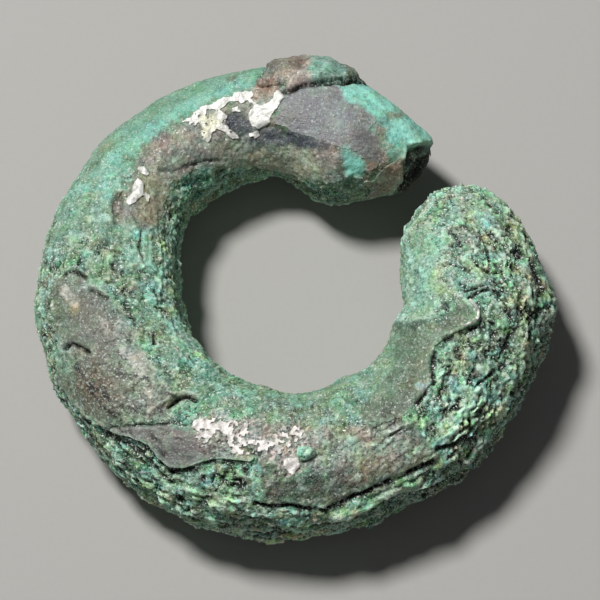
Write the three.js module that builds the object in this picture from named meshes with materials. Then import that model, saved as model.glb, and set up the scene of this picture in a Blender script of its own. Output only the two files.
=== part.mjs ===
import * as THREE from 'three';

// A thick penannular hoop earring: a copper-alloy rod bent into an open ring, narrowed and cut
// square at one end and left full and round at the other. It was wrapped in thin silver sheet,
// of which torn remains are left, and copper corrosion has grown over the rest.
// Lengths are millimetres. The hoop lies flat, +Z up, with its gap at the upper right.

const { degToRad } = THREE.MathUtils;

// The rod
const hoopRadius = 10;            // middle of the hoop to the middle of the rod
const rodRadius = 3.6;            // half the width of the rod on its fullest stretch
const gapAngle = degToRad(13);    // opening between the two ends
const gapBearing = degToRad(41);
const wornDepth = 0.22;           // flat worn along the underside
const endSpring = 1.05;           // how far the square end springs clear of the table
const squareEase = 0.7;           // length over which the cut edge is eased
const domeLength = 3.5;           // length over which the round end closes
const lumpHeight = 0.09;          // unevenness of the corroded metal
const lumpPitch = 7.5;            // length of one lump along the rod
const rodCorner = 2.25;           // exponent of the section: 2 is an ellipse, more is squarer

// What lies on the rod
const sheetThickness = 0.27;
const ledgeThickness = 0.75;      // where the sheet is folded over
const crustThickness = 0.42;
const crustLumpPitch = 2.5;        // from one lump of crust to the next
const flakeThickness = 0.15;
const seatClearance = 0.12;       // between a layer and what it lies on
const seamGap = 0.3;              // crack between neighbours
const seamCorner = 0.7;           // radius of a fragment's corners
const noduleRadius = 0.45;
const noduleHeight = 0.38;

// Facets
const facetLength = 0.9;
const rodFacets = 34;
const domeRings = 7;
const easeRings = 2;
const cornerSteps = 2;
const noduleFacets = 12;
const nodulePoints = 5;
const slopeStepShare = 0.001;     // of the rod or of a turn, for measuring a slope

const sweep = 2 * Math.PI - gapAngle;
const rodLength = sweep * hoopRadius;
const rodGirth = 2 * Math.PI * rodRadius;

// A smooth curve through rows of shares. The first share of a row says how far along the rod it
// stands, from the square end at 0 to the round end at 1.
function through(rowsOfShares) {
  const alongShares = rowsOfShares.map((row) => row[0]);
  const valueShares = rowsOfShares.flatMap((row) => row.slice(1));
  const spline = new THREE.CubicInterpolant(alongShares, valueShares, rowsOfShares[0].length - 1);
  return (along) => [...spline.evaluate(along)];
}

// The same for a line that has one value at each place.
function line(rowsOfShares) {
  const curve = through(rowsOfShares);
  return (along) => curve(along)[0];
}

// Along the rod: distance out over hoopRadius, half width and half height over rodRadius, and
// height off the table over endSpring.
const rodShares = [
  [0.0, 1.01, 0.48, 0.56, 1.0],
  [0.012, 0.982, 0.46, 0.63, 0.95],
  [0.033, 0.935, 0.63, 0.74, 0.86],
  [0.062, 0.925, 0.81, 0.83, 0.67],
  [0.091, 0.975, 0.92, 0.85, 0.43],
  [0.122, 1.03, 0.8, 0.83, 0.21],
  [0.151, 1.045, 0.72, 0.8, 0.08],
  [0.186, 1.072, 0.735, 0.8, 0.0],
  [0.226, 1.08, 0.73, 0.81, 0.0],
  [0.267, 1.07, 0.77, 0.83, 0.0],
  [0.307, 1.045, 0.83, 0.87, 0.0],
  [0.339, 1.035, 0.92, 0.92, 0.0],
  [0.393, 1.015, 1.0, 0.97, 0.0],
  [0.454, 1.012, 0.99, 0.99, 0.0],
  [0.512, 1.0, 1.02, 1.01, 0.0],
  [0.584, 1.0, 1.02, 1.01, 0.0],
  [0.641, 0.98, 0.95, 0.99, 0.0],
  [0.719, 0.955, 0.94, 0.97, 0.0],
  [0.774, 0.98, 0.95, 0.99, 0.0],
  [0.829, 0.982, 0.99, 1.01, 0.0],
  [0.889, 1.003, 1.03, 1.05, 0.0],
  [0.921, 0.975, 0.98, 1.02, 0.0],
  [0.952, 0.963, 0.87, 0.98, 0.0],
  [1.0, 0.955, 0.8, 0.9, 0.0],
];
const rodAt = through(rodShares);

// How much of the full section is left near the two ends: the square end is eased a little and
// stops flat, and the round end closes to a point.
const squareFaceShare = 0.8;
const domeCorner = 2.2;
function endShare(along) {
  const fromSquare = Math.min((along * rodLength) / squareEase, 1);
  const fromRound = Math.min(((1 - along) * rodLength) / domeLength, 1);
  const eased = squareFaceShare + (1 - squareFaceShare) * Math.sqrt(1 - (1 - fromSquare) ** 2);
  return eased * (1 - (1 - fromRound) ** domeCorner) ** (1 / domeCorner);
}

function lump(along, around) {
  const wave = (2 * Math.PI * along * rodLength) / lumpPitch;
  const turn = 2 * Math.PI * around;
  return (lumpHeight / 2) * (Math.sin(wave + turn) + Math.sin(wave * 2 - 3 * turn));
}

// A point of the rod's bare surface. around is a share of a turn: 0 outward, 0.25 on top,
// 0.5 inward and 0.75 underneath, where the metal is worn flat on the table.
function rodPoint(along, around) {
  const [outShare, widthShare, heightShare, springShare] = rodAt(along);
  const left = endShare(along);
  const turn = 2 * Math.PI * around;
  const across = Math.cos(turn);
  const up = Math.sin(turn);
  const reach = (Math.abs(across) ** rodCorner + Math.abs(up) ** rodCorner) ** (-1 / rodCorner);
  const bump = lump(along, around) * left;
  const halfWidth = rodRadius * widthShare * left + bump;
  const halfHeight = rodRadius * heightShare * left + bump;
  const middle = rodRadius * heightShare - wornDepth + endSpring * springShare;
  const radius = hoopRadius * outShare + halfWidth * reach * across;
  const bearing = gapBearing + gapAngle / 2 + sweep * along;
  const height = Math.max(middle + halfHeight * reach * up, 0);
  return new THREE.Vector3(radius * Math.cos(bearing), radius * Math.sin(bearing), height);
}

function rodNormal(along, around) {
  const before = Math.max(along - slopeStepShare, 0);
  const after = Math.min(along + slopeStepShare, 1);
  const lengthwise = rodPoint(after, around).sub(rodPoint(before, around));
  const crosswise = rodPoint(along, around + slopeStepShare).sub(rodPoint(along, around - slopeStepShare));
  return lengthwise.cross(crosswise).normalize();
}

function raisedPoint(along, around, height) {
  return rodPoint(along, around).addScaledVector(rodNormal(along, around), height);
}

// How far a crust dips between its lumps: 0 on a lump and 1 in the deepest dip. Each wave wanders
// with the other, so that the lumps don't stand in rows.
function dipAt(along, around) {
  const lengthwise = (2 * Math.PI * along * rodLength) / crustLumpPitch;
  const crosswise = (2 * Math.PI * around * rodGirth) / crustLumpPitch;
  const first = Math.sin(lengthwise + 2 * Math.sin(crosswise / 3));
  const second = Math.sin(crosswise + 2 * Math.sin(lengthwise / 3));
  return (2 + first + second) / 4;
}

function meshGeometry(points, triangles) {
  const geometry = new THREE.BufferGeometry().setFromPoints(points);
  geometry.setIndex(triangles.flat());
  geometry.computeVertexNormals();
  return geometry;
}

// Rings stand closer together where the rod is eased at one end and domed at the other.
function ringPlaces() {
  const easeEnd = squareEase / rodLength;
  const domeStart = 1 - domeLength / rodLength;
  const straightRings = Math.ceil(((domeStart - easeEnd) * rodLength) / facetLength);
  const places = [];
  for (let i = 0; i < easeRings; i += 1) {
    places.push(easeEnd * (1 - Math.cos((Math.PI / 2) * (i / easeRings))));
  }
  for (let i = 0; i <= straightRings; i += 1) {
    places.push(easeEnd + (domeStart - easeEnd) * (i / straightRings));
  }
  for (let i = 1; i < domeRings; i += 1) {
    places.push(domeStart + (1 - domeStart) * Math.sin((Math.PI / 2) * (i / domeRings)));
  }
  return places;
}

function rodGeometry() {
  const places = ringPlaces();
  const points = [];
  for (const along of places) {
    for (let j = 0; j < rodFacets; j += 1) {
      points.push(rodPoint(along, j / rodFacets));
    }
  }
  const squareMiddle = points.length;
  const firstRing = points.slice(0, rodFacets);
  const middle = firstRing.reduce((sum, point) => sum.add(point), new THREE.Vector3());
  points.push(middle.divideScalar(rodFacets));
  const roundTip = points.length;
  points.push(rodPoint(1, 0));

  const triangles = [];
  const last = (places.length - 1) * rodFacets;
  for (let j = 0; j < rodFacets; j += 1) {
    const next = (j + 1) % rodFacets;
    triangles.push([squareMiddle, j, next], [last + j, roundTip, last + next]);
    for (let ring = 0; ring < last; ring += rodFacets) {
      const a = ring + j;
      const b = a + rodFacets;
      const c = ring + rodFacets + next;
      const d = ring + next;
      triangles.push([a, b, c], [a, c, d]);
    }
  }
  return meshGeometry(points, triangles);
}

// Steps from one end of a fragment to the other, closer together round its corners.
function stepsBetween(begin, end) {
  const corner = Math.min(seamCorner / rodLength, (end - begin) / 3);
  const straight = end - begin - 2 * corner;
  const straightSteps = Math.max(Math.round((straight * rodLength) / facetLength), 1);
  const rounding = [];
  for (let i = 0; i < cornerSteps; i += 1) {
    rounding.push(corner * (1 - Math.cos((Math.PI / 2) * (i / cornerSteps))));
  }
  const steps = rounding.map((step) => begin + step);
  for (let i = 0; i <= straightSteps; i += 1) {
    steps.push(begin + corner + straight * (i / straightSteps));
  }
  return [...steps, ...rounding.reverse().map((step) => end - step)];
}

// A fragment lies on the rod between two breaks along it and two seams around it. Its corners
// are rounded, and it keeps half the seam gap to each line that it shares with a neighbour.
function fragmentPlaces({ from, to, low, high }) {
  const halfGap = seamGap / 2;
  const begin = from + halfGap / rodLength;
  const end = to - halfGap / rodLength;
  const widthAt = (along) => (high(along) - low(along)) * rodGirth - seamGap;
  const middleWidth = widthAt((begin + end) / 2);
  const acrossCount = Math.max(Math.round(middleWidth / facetLength), 2);
  const rows = [];
  for (const along of stepsBetween(begin, end)) {
    const fromEnd = Math.min(along - begin, end - along) * rodLength;
    const corner = Math.min(seamCorner, widthAt(along) / 3);
    const inward = Math.max(corner - fromEnd, 0);
    const trim = corner - Math.sqrt(corner ** 2 - inward ** 2);
    const lowEdge = low(along) + (halfGap + trim) / rodGirth;
    const highEdge = high(along) - (halfGap + trim) / rodGirth;
    const row = [];
    for (let j = 0; j <= acrossCount; j += 1) {
      row.push([along, THREE.MathUtils.lerp(lowEdge, highEdge, j / acrossCount)]);
    }
    rows.push(row);
  }
  return rows;
}

// A closed shell over a grid of places, its underside `base` above the rod's metal. It is at its
// full thickness on its lumps, and thinner by up to dipDepth between them.
function shellGeometry(rows, base, thickness, dipDepth) {
  const columns = rows[0].length;
  const places = rows.flat();
  const topPoints = places.map(([along, around]) => {
    const height = base + thickness - dipDepth * dipAt(along, around);
    return raisedPoint(along, around, height);
  });
  const underPoints = places.map(([along, around]) => raisedPoint(along, around, base));
  const under = topPoints.length;
  const triangles = [];
  for (let i = 0; i < rows.length - 1; i += 1) {
    for (let j = 0; j < columns - 1; j += 1) {
      const a = i * columns + j;
      const b = a + columns;
      const c = b + 1;
      const d = a + 1;
      const cutsAC = topPoints[a].distanceTo(topPoints[c]) < topPoints[b].distanceTo(topPoints[d]);
      const halves = cutsAC ? [[a, b, c], [a, c, d]] : [[a, b, d], [b, c, d]];
      for (const [p, q, r] of halves) {
        triangles.push([p, q, r], [under + r, under + q, under + p]);
      }
    }
  }
  const rim = [];
  for (let i = 0; i < rows.length - 1; i += 1) {
    rim.push(i * columns);
  }
  for (let j = 0; j < columns - 1; j += 1) {
    rim.push((rows.length - 1) * columns + j);
  }
  for (let i = rows.length - 1; i > 0; i -= 1) {
    rim.push(i * columns + columns - 1);
  }
  for (let j = columns - 1; j > 0; j -= 1) {
    rim.push(j);
  }
  rim.forEach((here, k) => {
    const next = rim[(k + 1) % rim.length];
    triangles.push([next, here, under + here], [next, under + here, under + next]);
  });
  return meshGeometry([...topPoints, ...underPoints], triangles);
}

// Seams and edges, as shares of a turn around the rod

// between the outer crusts and the sheet on top
const outerSeamShares = [
  [0, 0.153],
  [0.027, 0.167],
  [0.049, 0.144],
  [0.073, 0.144],
  [0.094, 0.194],
  [0.118, 0.225],
  [0.141, 0.219],
  [0.175, 0.233],
  [0.212, 0.239],
  [0.265, 0.258],
  [0.301, 0.264],
  [0.333, 0.256],
  [0.351, 0.27],
  [0.365, 0.25],
  [0.38, 0.205],
  [0.394, 0.15],
  [0.411, 0.115],
  [0.437, 0.139],
  [0.456, 0.111],
  [0.512, 0.142],
  [0.559, 0.15],
  [0.591, 0.194],
  [0.61, 0.208],
  [0.644, 0.169],
  [0.672, 0.144],
  [0.702, 0.128],
  [0.731, 0.125],
  [0.753, 0.161],
  [0.78, 0.256],
  [0.807, 0.292],
  [0.829, 0.278],
  [0.846, 0.242],
  [0.871, 0.256],
  [0.895, 0.244],
  [0.964, 0.228],
  [1, 0.208],
];

// between the sheet on top and the crusts of the inner wall
const innerSeamShares = [
  [0, 0.35],
  [0.027, 0.356],
  [0.053, 0.383],
  [0.117, 0.375],
  [0.137, 0.364],
  [0.189, 0.378],
  [0.241, 0.353],
  [0.29, 0.314],
  [0.324, 0.297],
  [0.382, 0.294],
  [0.414, 0.267],
  [0.483, 0.278],
  [0.523, 0.267],
  [0.554, 0.256],
  [0.59, 0.272],
  [0.644, 0.286],
  [0.716, 0.269],
  [0.739, 0.311],
  [0.762, 0.372],
  [0.786, 0.394],
  [0.834, 0.406],
  [1, 0.417],
];

// where the crusts stop low on the outside and low on the inner wall
const outerFootShares = [
  [0, 0],
  [0.127, -0.05],
  [0.4, -0.07],
  [0.602, -0.12],
  [0.854, -0.1],
  [1, -0.06],
];
const innerFootShares = [
  [0, 0.53],
  [0.127, 0.57],
  [0.299, 0.6],
  [0.804, 0.6],
  [1, 0.56],
];

const outerSeam = line(outerSeamShares);
const innerSeam = line(innerSeamShares);
const outerFoot = line(outerFootShares);
const innerFoot = line(innerFootShares);

// Finishes, with the colours that show in the photograph
const finishes = {
  coreMetal: { color: 0x5d6653, roughness: 0.8, metalness: 0.3 },
  tarnishedSheet: { color: 0x736e65, roughness: 0.55, metalness: 0.35 },
  darkPlate: { color: 0x8b8a90, roughness: 0.45, metalness: 0.4 },
  brightSilver: { color: 0xe4e2dc, roughness: 0.3, metalness: 0.9 },
  tealCrust: { color: 0x7ab096, roughness: 0.85, metalness: 0 },
  paleCrust: { color: 0x9ebfab, roughness: 0.9, metalness: 0 },
  darkCrust: { color: 0x657f6a, roughness: 0.9, metalness: 0 },
};

function piece(name, finish, geometry) {
  const material = new THREE.MeshStandardMaterial({ name: finish, ...finishes[finish] });
  const mesh = new THREE.Mesh(geometry, material);
  mesh.name = name;
  return mesh;
}

// What a fragment can be: its finish, its thickness and the share of it that dips between lumps
const layers = {
  sheet: ['tarnishedSheet', sheetThickness, 0],
  foldedSheet: ['tarnishedSheet', ledgeThickness, 0],
  darkSheet: ['darkPlate', sheetThickness, 0],
  tealCrust: ['tealCrust', crustThickness, 0.3],
  paleCrust: ['paleCrust', crustThickness, 0.6],
  darkCrust: ['darkCrust', crustThickness, 0.75],
};

// Where one fragment ends and the next begins, as shares of the rod's length. A stretch that no
// fragment names stays empty.
const outerSeamBand = {
  low: outerFoot,
  high: outerSeam,
  stretchShares: [
    ['crust_square_end', 'tealCrust', 0, 0.072],
    ['sheath_ledge', 'foldedSheet', 0.072, 0.125],
    ['crust_upper_shoulder', 'tealCrust', 0.125, 0.329],
    ['crust_left_side', 'paleCrust', 0.329, 0.387],
    ['crust_left_rim', 'paleCrust', 0.387, 0.454],
    ['crust_lower_left', 'darkCrust', 0.454, 0.621],
    ['crust_lower_side', 'darkCrust', 0.621, 0.762],
    ['crust_right_side', 'darkCrust', 0.762, 0.877],
    ['crust_round_end', 'darkCrust', 0.877, 0.99],
  ],
};

const topBand = {
  low: outerSeam,
  high: innerSeam,
  stretchShares: [
    ['crust_square_end_top', 'tealCrust', 0, 0.029],
    ['sheath_dark_plate', 'darkSheet', 0.029, 0.138],
    ['sheath_upper_arc', 'sheet', 0.138, 0.336],
    ['sheath_left', 'sheet', 0.381, 0.526],
    ['sheath_tongue', 'sheet', 0.526, 0.643],
    ['sheath_lower_arc', 'sheet', 0.643, 0.753],
    ['sheath_right', 'sheet', 0.753, 0.84],
  ],
};

const roundEndBand = {
  low: outerSeam,
  high: innerFoot,
  stretchShares: [['crust_round_end_inner', 'paleCrust', 0.84, 0.99]],
};

const innerBand = {
  low: innerSeam,
  high: innerFoot,
  stretchShares: [
    ['sheath_square_end_rim', 'sheet', 0, 0.056],
    ['crust_inner_upper', 'darkCrust', 0.056, 0.29],
    ['crust_inner_left', 'paleCrust', 0.29, 0.546],
    ['crust_inner_lower', 'tealCrust', 0.546, 0.84],
  ],
};

function bandPieces({ low, high, stretchShares }) {
  return stretchShares.map(([name, layer, from, to]) => {
    const [finish, thickness, dipShare] = layers[layer];
    const rows = fragmentPlaces({ from, to, low, high });
    return piece(name, finish, shellGeometry(rows, seatClearance, thickness, thickness * dipShare));
  });
}

// Bright silver lies on the layer below it. Rows: along, low edge and high edge.
const flakeShares = {
  silver_upper: [
    [0.134, 0.228, 0.247],
    [0.145, 0.236, 0.27],
    [0.155, 0.24, 0.314],
    [0.165, 0.24, 0.3],
    [0.174, 0.248, 0.282],
    [0.187, 0.26, 0.296],
    [0.201, 0.268, 0.326],
    [0.212, 0.268, 0.328],
    [0.222, 0.27, 0.292],
  ],
  silver_left: [
    [0.276, 0.267, 0.288],
    [0.287, 0.266, 0.298],
    [0.302, 0.257, 0.29],
    [0.316, 0.252, 0.287],
    [0.326, 0.262, 0.28],
  ],
  silver_lower: [
    [0.553, 0.225, 0.248],
    [0.569, 0.21, 0.258],
    [0.59, 0.209, 0.27],
    [0.613, 0.207, 0.27],
    [0.629, 0.185, 0.28],
    [0.639, 0.2, 0.28],
  ],
  silver_lip: [
    [0.844, 0.235, 0.255],
    [0.857, 0.228, 0.256],
    [0.87, 0.242, 0.268],
  ],
};
const bareSheet = 2 * seatClearance + sheetThickness;
const bareCrust = 2 * seatClearance + crustThickness;
const flakeBases = {
  silver_upper: bareSheet,
  silver_left: bareSheet,
  silver_lower: bareSheet,
  silver_lip: bareCrust,
};

function flakePieces() {
  return Object.entries(flakeShares).map(([name, rowsOfShares]) => {
    const edges = through(rowsOfShares);
    const from = rowsOfShares[0][0];
    const to = rowsOfShares.at(-1)[0];
    const low = (along) => edges(along)[0];
    const high = (along) => edges(along)[1];
    const rows = fragmentPlaces({ from, to, low, high });
    return piece(name, 'brightSilver', shellGeometry(rows, flakeBases[name], flakeThickness, 0));
  });
}

// A green nodule stands on the sheet beside the lower silver.
const noduleAlongShare = 0.65;
const noduleAroundShare = 0.222;
function nodule() {
  const profile = [new THREE.Vector2(0, 0)];
  for (let k = 0; k <= nodulePoints; k += 1) {
    const rise = (Math.PI / 2) * (k / nodulePoints);
    profile.push(new THREE.Vector2(noduleRadius * Math.cos(rise), noduleHeight * Math.sin(rise)));
  }
  profile.at(-1).x = 0;
  const dome = piece('crust_nodule', 'tealCrust', new THREE.LatheGeometry(profile, noduleFacets));
  const outward = rodNormal(noduleAlongShare, noduleAroundShare);
  dome.quaternion.setFromUnitVectors(new THREE.Vector3(0, 1, 0), outward);
  dome.position.copy(raisedPoint(noduleAlongShare, noduleAroundShare, bareSheet));
  return dome;
}

const earring = new THREE.Group();
earring.add(piece('core_rod', 'coreMetal', rodGeometry()));
for (const band of [outerSeamBand, topBand, roundEndBand, innerBand]) {
  earring.add(...bandPieces(band));
}
earring.add(...flakePieces(), nodule());

// The origin is under the middle of the earring, on the table.
const extent = new THREE.Box3().setFromObject(earring, true);
const middle = extent.getCenter(new THREE.Vector3());
earring.position.set(-middle.x, -middle.y, -extent.min.z);

export default earring;
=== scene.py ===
import itertools
import math

import bpy
import numpy as np
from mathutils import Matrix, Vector
from mathutils.bvhtree import BVHTree


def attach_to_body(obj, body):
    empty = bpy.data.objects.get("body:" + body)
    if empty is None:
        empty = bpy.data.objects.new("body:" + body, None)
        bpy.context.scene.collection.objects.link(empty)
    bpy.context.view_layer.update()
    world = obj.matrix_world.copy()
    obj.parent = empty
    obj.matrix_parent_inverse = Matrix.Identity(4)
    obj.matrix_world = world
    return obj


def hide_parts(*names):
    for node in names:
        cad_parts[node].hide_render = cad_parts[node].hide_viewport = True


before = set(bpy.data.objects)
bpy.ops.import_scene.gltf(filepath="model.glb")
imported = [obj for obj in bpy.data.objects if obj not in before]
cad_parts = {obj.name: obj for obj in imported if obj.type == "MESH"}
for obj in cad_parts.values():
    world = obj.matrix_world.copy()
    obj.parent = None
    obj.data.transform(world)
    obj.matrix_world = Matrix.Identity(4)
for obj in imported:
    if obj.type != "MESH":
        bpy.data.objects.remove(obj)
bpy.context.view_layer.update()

# Lengths are mm here and turn into metres where a mesh is made. Outlines and lines named in
# pixels are places in the photograph, seen through its own camera.
mm = 0.001

# camera
camera = {
    "elevation": 70,  # degrees above the table
    "distance": 150,
    "aim": (0, 0, 3.9),
    "aimPixel": (295, 289),
    "scale": 18.28,  # pixels to the mm at the aim
    "frame": 600,
    "sensor": 36,
    "near": 0.01,  # clipping, in metres
    "far": 10,
}

tilt = math.radians(camera["elevation"])
towardsCamera = np.array([0, -math.cos(tilt), math.sin(tilt)])
cameraUp = np.array([0, math.sin(tilt), math.cos(tilt)])
eye = np.array(camera["aim"]) + towardsCamera * camera["distance"]
focal = camera["scale"] * camera["distance"]


def photoPixels(points):
    away = points - eye
    depth = -away @ towardsCamera
    across = camera["aimPixel"][0] + focal * away[..., 0] / depth
    down = camera["aimPixel"][1] - focal * (away @ cameraUp) / depth
    return across, down


# the bare rod, measured on the CAD core
rod = {
    "squareEnd": 47.5,  # bearings of the two ends, degrees
    "roundEnd": 394.5,
    "squareFan": 9,  # from here the rows fan out over the end
    "roundFan": 18,
    "rowStep": 0.08,
    "squareRows": 44,
    "roundRows": 66,
    "columns": 324,
    "smooth": 0.36,  # takes the facets off
    "bendRadius": 10,  # about the middle of the hoop and of the rod, to turn angles into lengths
    "girthRadius": 3.3,
    "stations": 120,  # where the middle of the rod is measured
    "stationReach": 4.5,  # degrees
    "stationBlend": 2.5,
}

columns = rod["columns"]
half = columns // 2
around = -90 + 360 * np.arange(columns) / columns  # 0 outward, 90 on top, 180 inward


def rodRows():
    # bearing of each row's origin, and how far its rays lean over the end
    start = rod["squareEnd"] + rod["squareFan"]
    end = rod["roundEnd"] - rod["roundFan"]
    bodyRows = int(math.radians(end - start) * rod["bendRadius"] / rod["rowStep"])
    bearing = np.concatenate([
        np.full(rod["squareRows"], start),
        np.linspace(start, end, bodyRows),
        np.full(rod["roundRows"], end),
    ])
    lean = np.concatenate([
        np.linspace(-90, 0, rod["squareRows"], endpoint=False),
        np.zeros(bodyRows),
        np.linspace(0, 90, rod["roundRows"] + 1)[1:],
    ])
    return bearing, lean


rowBearing, rowLean = rodRows()
rows = len(rowBearing)


def overPoles(field, count):
    # the grid with rows added past both ends, where it carries on down the other side
    over = np.roll(field, half, axis=1)
    return np.concatenate([over[count:0:-1], field, over[-2:-count - 2:-1]])


def bell(spread):
    reach = int(3 * spread) + 1
    weights = np.exp(-0.5 * (np.arange(-reach, reach + 1) / spread) ** 2)
    return weights / weights.sum()


def soften(field, spread):
    weights = bell(spread)
    reach = len(weights) // 2
    tall = overPoles(field, reach)
    field = sum(w * tall[k:k + rows] for k, w in enumerate(weights))
    return sum(w * np.roll(field, k - reach, axis=1) for k, w in enumerate(weights))


def measureRod():
    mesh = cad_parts["core_rod"].data
    coords = np.empty(len(mesh.vertices) * 3)
    mesh.vertices.foreach_get("co", coords)
    coords = coords.reshape(-1, 3) / mm
    tree = BVHTree.FromPolygons(coords.tolist(), [tuple(p.vertices) for p in mesh.polygons])

    bearing = np.degrees(np.arctan2(coords[:, 1], coords[:, 0])) % 360
    midGap = (rod["squareEnd"] + rod["roundEnd"] - 360) / 2
    bearing[bearing < midGap] += 360
    reach = np.hypot(coords[:, 0], coords[:, 1])
    stations = np.linspace(rod["squareEnd"], rod["roundEnd"], rod["stations"])
    middles = []
    for station in stations:
        near = np.abs(bearing - station) < rod["stationReach"]
        middles.append([
            (reach[near].max() + reach[near].min()) / 2,
            (coords[near, 2].max() + coords[near, 2].min()) / 2,
        ])
    middles = np.array(middles)
    weights = bell(rod["stationBlend"])
    pad = len(weights) // 2
    padded = np.pad(middles, ((pad, pad), (0, 0)), mode="edge")
    middles = sum(w * padded[k:k + len(stations)] for k, w in enumerate(weights))
    rowReach = np.interp(rowBearing, stations, middles[:, 0])
    rowHeight = np.interp(rowBearing, stations, middles[:, 1])

    turn = np.radians(around)
    length = np.zeros((rows, columns))
    origins = np.zeros((rows, 3))
    rays = np.zeros((rows, columns, 3))
    for i in range(rows):
        b = math.radians(rowBearing[i])
        lean = math.radians(rowLean[i])
        out = np.array([math.cos(b), math.sin(b), 0])
        onward = np.array([-math.sin(b), math.cos(b), 0])
        origins[i] = out * rowReach[i] + np.array([0, 0, rowHeight[i]])
        flat = np.outer(np.cos(turn), out) + np.outer(np.sin(turn), [0, 0, 1])
        rays[i] = math.cos(lean) * flat + math.sin(lean) * onward
        origin = Vector(origins[i])
        for j in range(columns):
            hit = tree.ray_cast(origin, Vector(rays[i, j]))
            length[i, j] = hit[3] if hit[0] else length[i - 1, j]
    length = soften(length, rod["smooth"] / rod["rowStep"])
    return origins[:, None, :] + rays * length[..., None]


def gridSteps(points):
    tall = overPoles(points, 1)
    onward = (tall[2:] - tall[:-2]) / 2
    crosswise = (np.roll(points, -1, axis=1) - np.roll(points, 1, axis=1)) / 2
    return onward, crosswise


def unit(vectors):
    return vectors / np.maximum(np.linalg.norm(vectors, axis=-1, keepdims=True), 1e-9)


bare = measureRod()
onwardStep, crossStep = gridSteps(bare)
outward = unit(np.cross(onwardStep, crossStep))
outward[0] = unit(outward[1].mean(axis=0))
outward[-1] = unit(outward[-2].mean(axis=0))
girthStep = np.linalg.norm(crossStep, axis=-1)
print("rod measured", bare.shape)


def ramp(field, low, high):
    share = np.clip((field - low) / (high - low), 0, 1)
    return share * share * (3 - 2 * share)


def band(field, rise, fall):
    # 1 between two slopes and 0 outside them
    return ramp(field, *rise) * (1 - ramp(field, *fall))


def crustLumps():
    # how high the tops of the CAD crusts stand over the bare rod, carried on where there are none
    coords, polygons = [], []
    for name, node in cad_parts.items():
        if name.startswith("crust_") and name != "crust_nodule":
            vertices = np.empty(len(node.data.vertices) * 3)
            node.data.vertices.foreach_get("co", vertices)
            polygons += [[v + len(coords) for v in p.vertices] for p in node.data.polygons]
            coords += (vertices.reshape(-1, 3) / mm).tolist()
    tree = BVHTree.FromPolygons(coords, polygons)
    above = 1.2  # higher than any crust
    height = np.zeros((rows, columns))
    found = np.zeros((rows, columns))
    for i in range(0, rows, 2):
        for j in range(0, columns, 2):
            way = Vector(outward[i, j])
            hit = tree.ray_cast(Vector(bare[i, j]) + way * above, -way, above)
            if hit[0]:
                height[i:i + 2, j:j + 2] = above - hit[3]
                found[i:i + 2, j:j + 2] = 1
    spread = 0.28 / rod["rowStep"]  # rounds the lumps' facets
    near = soften(found, spread)
    lumps = soften(height * found, spread) / np.maximum(near, 1e-3)
    mean = height[found > 0].mean()
    return mean + (lumps - mean) * ramp(near, 0.02, 0.3)


lumps = crustLumps()
print("crust lumps measured")


# where each place shows in the photograph
sight = {
    "skin": 0.4,  # how far the dressed surface stands over the bare rod, about
    "grazing": 0.06,  # a place that faces the camera less than this is out of sight
}


def photoPlaces():
    # pixels of each place, and how many mm it lies out of sight
    dressed = bare + sight["skin"] * outward
    across, down = photoPixels(dressed)
    facing = np.sum(outward * unit(eye - dressed), axis=-1)
    hidden = np.zeros((rows, columns))
    done = set()
    # from a row in sight back to the first, then all of them; a row out of sight takes after the last one
    lastSeen = None
    for i in list(range(half, -1, -1)) + list(range(rows)):
        seen = np.flatnonzero(facing[i] > sight["grazing"])
        if len(seen) == 0:
            across[i], down[i], hidden[i] = lastSeen
            continue
        gap = np.abs(np.arange(columns)[:, None] - seen[None, :])
        gap = np.minimum(gap, columns - gap)
        nearest = seen[gap.argmin(axis=1)]
        if i not in done:
            across[i] = across[i][nearest]
            down[i] = down[i][nearest]
            hidden[i] = gap.min(axis=1) * girthStep[i].mean()
            done.add(i)
        lastSeen = (across[i], down[i], hidden[i])
    return across, down, hidden


photoX, photoY, hidden = photoPlaces()
bearings = np.broadcast_to(rowBearing[:, None], (rows, columns)).copy()
# rows that fan out over an end count on round it
bearings += (rowLean / 90 * np.where(rowLean < 0, rod["squareFan"], rod["roundFan"]))[:, None]
sideways = np.broadcast_to(around[None, :], (rows, columns))

# unevenness
tableSize = 4096
dice = np.random.default_rng(41)
slopes = unit(dice.normal(size=(tableSize, 3)))
shades = dice.uniform(size=tableSize)
mixer = {"x": 73856093, "y": 19349663, "z": 83492791, "salt": 40503001, "stir": 1274126177}
fullSwell = 1.7  # brings a swell to about -1 to 1
strayGrain = 0.42  # how far a grain lies from the middle of its cell


def scatter(cell, salt):
    # picks a place in the tables for each cell of a lattice
    x, y, z = (cell[..., k].astype(np.int64) for k in range(3))
    mixed = (x * mixer["x"]) ^ (y * mixer["y"]) ^ (z * mixer["z"]) ^ (salt * mixer["salt"])
    mixed = (mixed ^ (mixed >> 13)) * mixer["stir"]
    return (mixed ^ (mixed >> 16)) & (tableSize - 1)


def swell(places, size, salt):
    # smooth unevenness from about -1 to 1
    scaled = places / size
    cell = np.floor(scaled)
    part = scaled - cell
    ease = part ** 3 * (part * (part * 6 - 15) + 10)
    total = 0
    for corner in itertools.product((0, 1), repeat=3):
        corner = np.array(corner)
        weight = np.where(corner, ease, 1 - ease).prod(axis=-1)
        slope = slopes[scatter(cell + corner, salt)]
        total = total + weight * np.sum(slope * (part - corner), axis=-1)
    return total * fullSwell


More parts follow.
